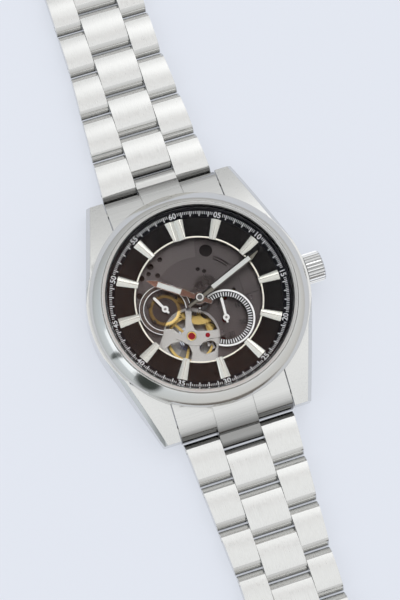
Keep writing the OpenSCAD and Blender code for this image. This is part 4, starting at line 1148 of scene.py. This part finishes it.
bpy.ops.object.select_all(action="DESELECT")
bpy.ops.mesh.primitive_plane_add(size=TABLE_SIDE, location=(0, 0, cad_low.z - TABLE_GAP))
floor = bpy.context.object
floor.name = "table_top"
floor_paint, floor_tree, floor_shader = finish("table_pale", TABLE_PALE, Roughness=0.8)
glow = put(floor_tree, "Emission", {"Color": (*TABLE_PALE, 1), "Strength": 1.0})
share = put(floor_tree, "Math", {0: looking(floor_tree), 1: TABLE_GLOW}, operation="MULTIPLY")
show(floor_tree, put(floor_tree, "MixShader", {0: share, 1: floor_shader.outputs["BSDF"], 2: glow}))
floor.data.materials.append(floor_paint)
print("table top in mm:", round(floor.location.z / MM, 3))

# %% [markdown]
# ## Tent
#
# Watches are pictured in a tent of white cloth: brightest overhead, greyer down to its foot and on
# the far side, and here a little blue on the left. Polished steel shows nothing but its surroundings,
# so the greys of the tent are what give the bracelet its tones. An environment picture would do that
# too, but a ramp over the height says in six colours what is needed. The tent looks like this to rays
# that see it or mirror it; as a lamp it is plain.

# %% Tent
TENT = [
    (0.0, (0.64, 0.64, 0.64)), (0.05, (0.70, 0.70, 0.70)), (0.14, (0.77, 0.77, 0.77)),
    (0.5, (0.84, 0.85, 0.86)), (0.8, (0.98, 0.99, 1.0)), (0.95, (1.1, 1.11, 1.12)),
]
# The parts of a direction run from minus one to one: Y grows to twelve o'clock, and X to the crown.
FAR_FROM = 0.15
FAR_TO = 0.8
FAR_TONE = 0.78
LEFT_FROM = -0.2
LEFT_TO = -0.9
RIGHT_TINT = (1, 1, 0.99)
LEFT_TINT = (0.94, 1.01, 1.06)
LAMP_TINT = (0.95, 0.97, 1.0)
LAMP_STRENGTH = 0.85

world = bpy.data.worlds.new("white_tent")
bpy.context.scene.world = world
world.use_nodes = True
tent = world.node_tree
tent.nodes.clear()
direction = apart(tent, tent.nodes.new("ShaderNodeTexCoord").outputs["Generated"])
far_side = spread(tent, direction["Y"], FAR_FROM, FAR_TO, 1.0, FAR_TONE)
left_side = spread(tent, direction["X"], LEFT_FROM, LEFT_TO, 0.0, 1.0)
tint = blend(tent, left_side, RIGHT_TINT, LEFT_TINT)
tinted = {0: 1.0, COLOUR_A: ramp(tent, direction["Z"], TENT), COLOUR_B: tint}
cloth = put(tent, "Mix", tinted, data_type="RGBA", blend_type="MULTIPLY").node.outputs[COLOUR_OUT]
seen = put(tent, "Background", {"Color": cloth, "Strength": far_side})
lit = put(tent, "Background", {"Color": (*LAMP_TINT, 1), "Strength": LAMP_STRENGTH})
both = put(tent, "MixShader", {0: looking(tent), 1: lit, 2: seen})
tent.links.new(both, tent.nodes.new("ShaderNodeOutputWorld").inputs["Surface"])
print("colours of the tent:", len(TENT))

# %% [markdown]
# ## Lamps
#
# A tent alone lights everything evenly, and the watch would float. Two soft boxes, one high on the
# right and a weaker one on the left, give the shadows a direction. They are large, so that the
# shadows stay soft.

# %% Lamps
def soft_lamp(name, place, watts, side):
    """A square soft box that faces the dial."""
    bpy.ops.object.light_add(type="AREA", location=place)
    lamp = bpy.context.object
    lamp.name = name
    lamp.data.energy = watts
    lamp.data.size = side
    lamp.rotation_euler = (Vector(place) - FRAME_CENTRE).to_track_quat("Z", "Y").to_euler()
    return lamp


key_box = soft_lamp("key_box", place=(0.35, 0.45, 0.75), watts=0.7, side=0.5)
fill_box = soft_lamp("fill_box", place=(-0.6, -0.1, 0.5), watts=0.4, side=0.5)
print("lamps in watts:", round(key_box.data.energy, 2), round(fill_box.data.energy, 2))

# %% [markdown]
# ## Cards
#
# Polished metal and glass only have shape when something dark stands in the white, so a few cards
# hang out of sight and show in reflections alone. The one overhead stands where the crystal and the
# flat hands mirror the camera: black to the right keeps the dial black, brown to the left gives the
# hour hand its copper glow. Two on the left put the dark patches on the bezel, and a low one in front
# darkens the rolled ends of the links.

# %% Cards
CARD_CORNERS = 64
CARD_HEIGHT = 0.6
OVERHEAD_R = 0.0437
SPLIT_TURN = 40
SPLIT_HALF = 0.3
BLACK = (0.01, 0.01, 0.01)
BROWN = (0.40, 0.17, 0.10)
GREY_GREEN = (0.05, 0.06, 0.05)
BROWN_GREY = (0.24, 0.21, 0.18)


def round_card(name, centre, size, colours, soft, turn):
    """A round card that shows in reflections only. Its two colours stand left and right on it, its edge
    fades over the share of the radius that soft says, and turn holds its angles in degrees."""
    bpy.ops.object.select_all(action="DESELECT")
    bpy.ops.mesh.primitive_circle_add(vertices=CARD_CORNERS, radius=1, fill_type="NGON", location=centre)
    board = bpy.context.object
    board.name = name
    board.scale = (*size, 1)
    board.rotation_euler = [math.radians(angle) for angle in turn]
    left, right = colours
    paper, tree, shader = finish(name + "_paper", left, Roughness=0.9)
    across = apart(tree, place_of(tree))["X"]
    side = spread(tree, across, -SPLIT_HALF, SPLIT_HALF, 0.0, 1.0)
    feed(tree, blend(tree, side, left, right), shader, "Base Color")
    fade = spread(tree, length_of(tree, place_of(tree)), 1.0 - soft, 1.0, 0.0, 1.0)
    see_through = put(tree, "BsdfTransparent", {"Color": (*CLEAR, 1)})
    show(tree, put(tree, "MixShader", {0: fade, 1: shader.outputs["BSDF"], 2: see_through}))
    board.data.materials.append(paper)
    board.visible_camera = False
    board.visible_diffuse = False
    board.visible_shadow = False
    return board


mirrored_sight = Vector((-SIGHT.x, -SIGHT.y, SIGHT.z))
overhead = FRAME_CENTRE + mirrored_sight * CARD_HEIGHT
cards = [
    round_card("overhead_card", centre=overhead, size=(OVERHEAD_R, OVERHEAD_R),
        colours=(BROWN, BLACK), soft=0.02, turn=(0, 0, SPLIT_TURN)),
    round_card("grey_card", centre=(-0.41, -0.31, 0.33), size=(0.11, 0.34),
        colours=(GREY_GREEN, GREY_GREEN), soft=0.35, turn=(90, 0, -53)),
    round_card("streak_card", centre=(-0.5, -0.08, 0.33), size=(0.025, 0.34),
        colours=(GREY_GREEN, GREY_GREEN), soft=0.3, turn=(90, 0, -81)),
    round_card("front_card", centre=(0, -0.6, 0.05), size=(0.6, 0.06),
        colours=(BROWN_GREY, BROWN_GREY), soft=0.4, turn=(90, 0, 0)),
]
print("cards:", len(cards))
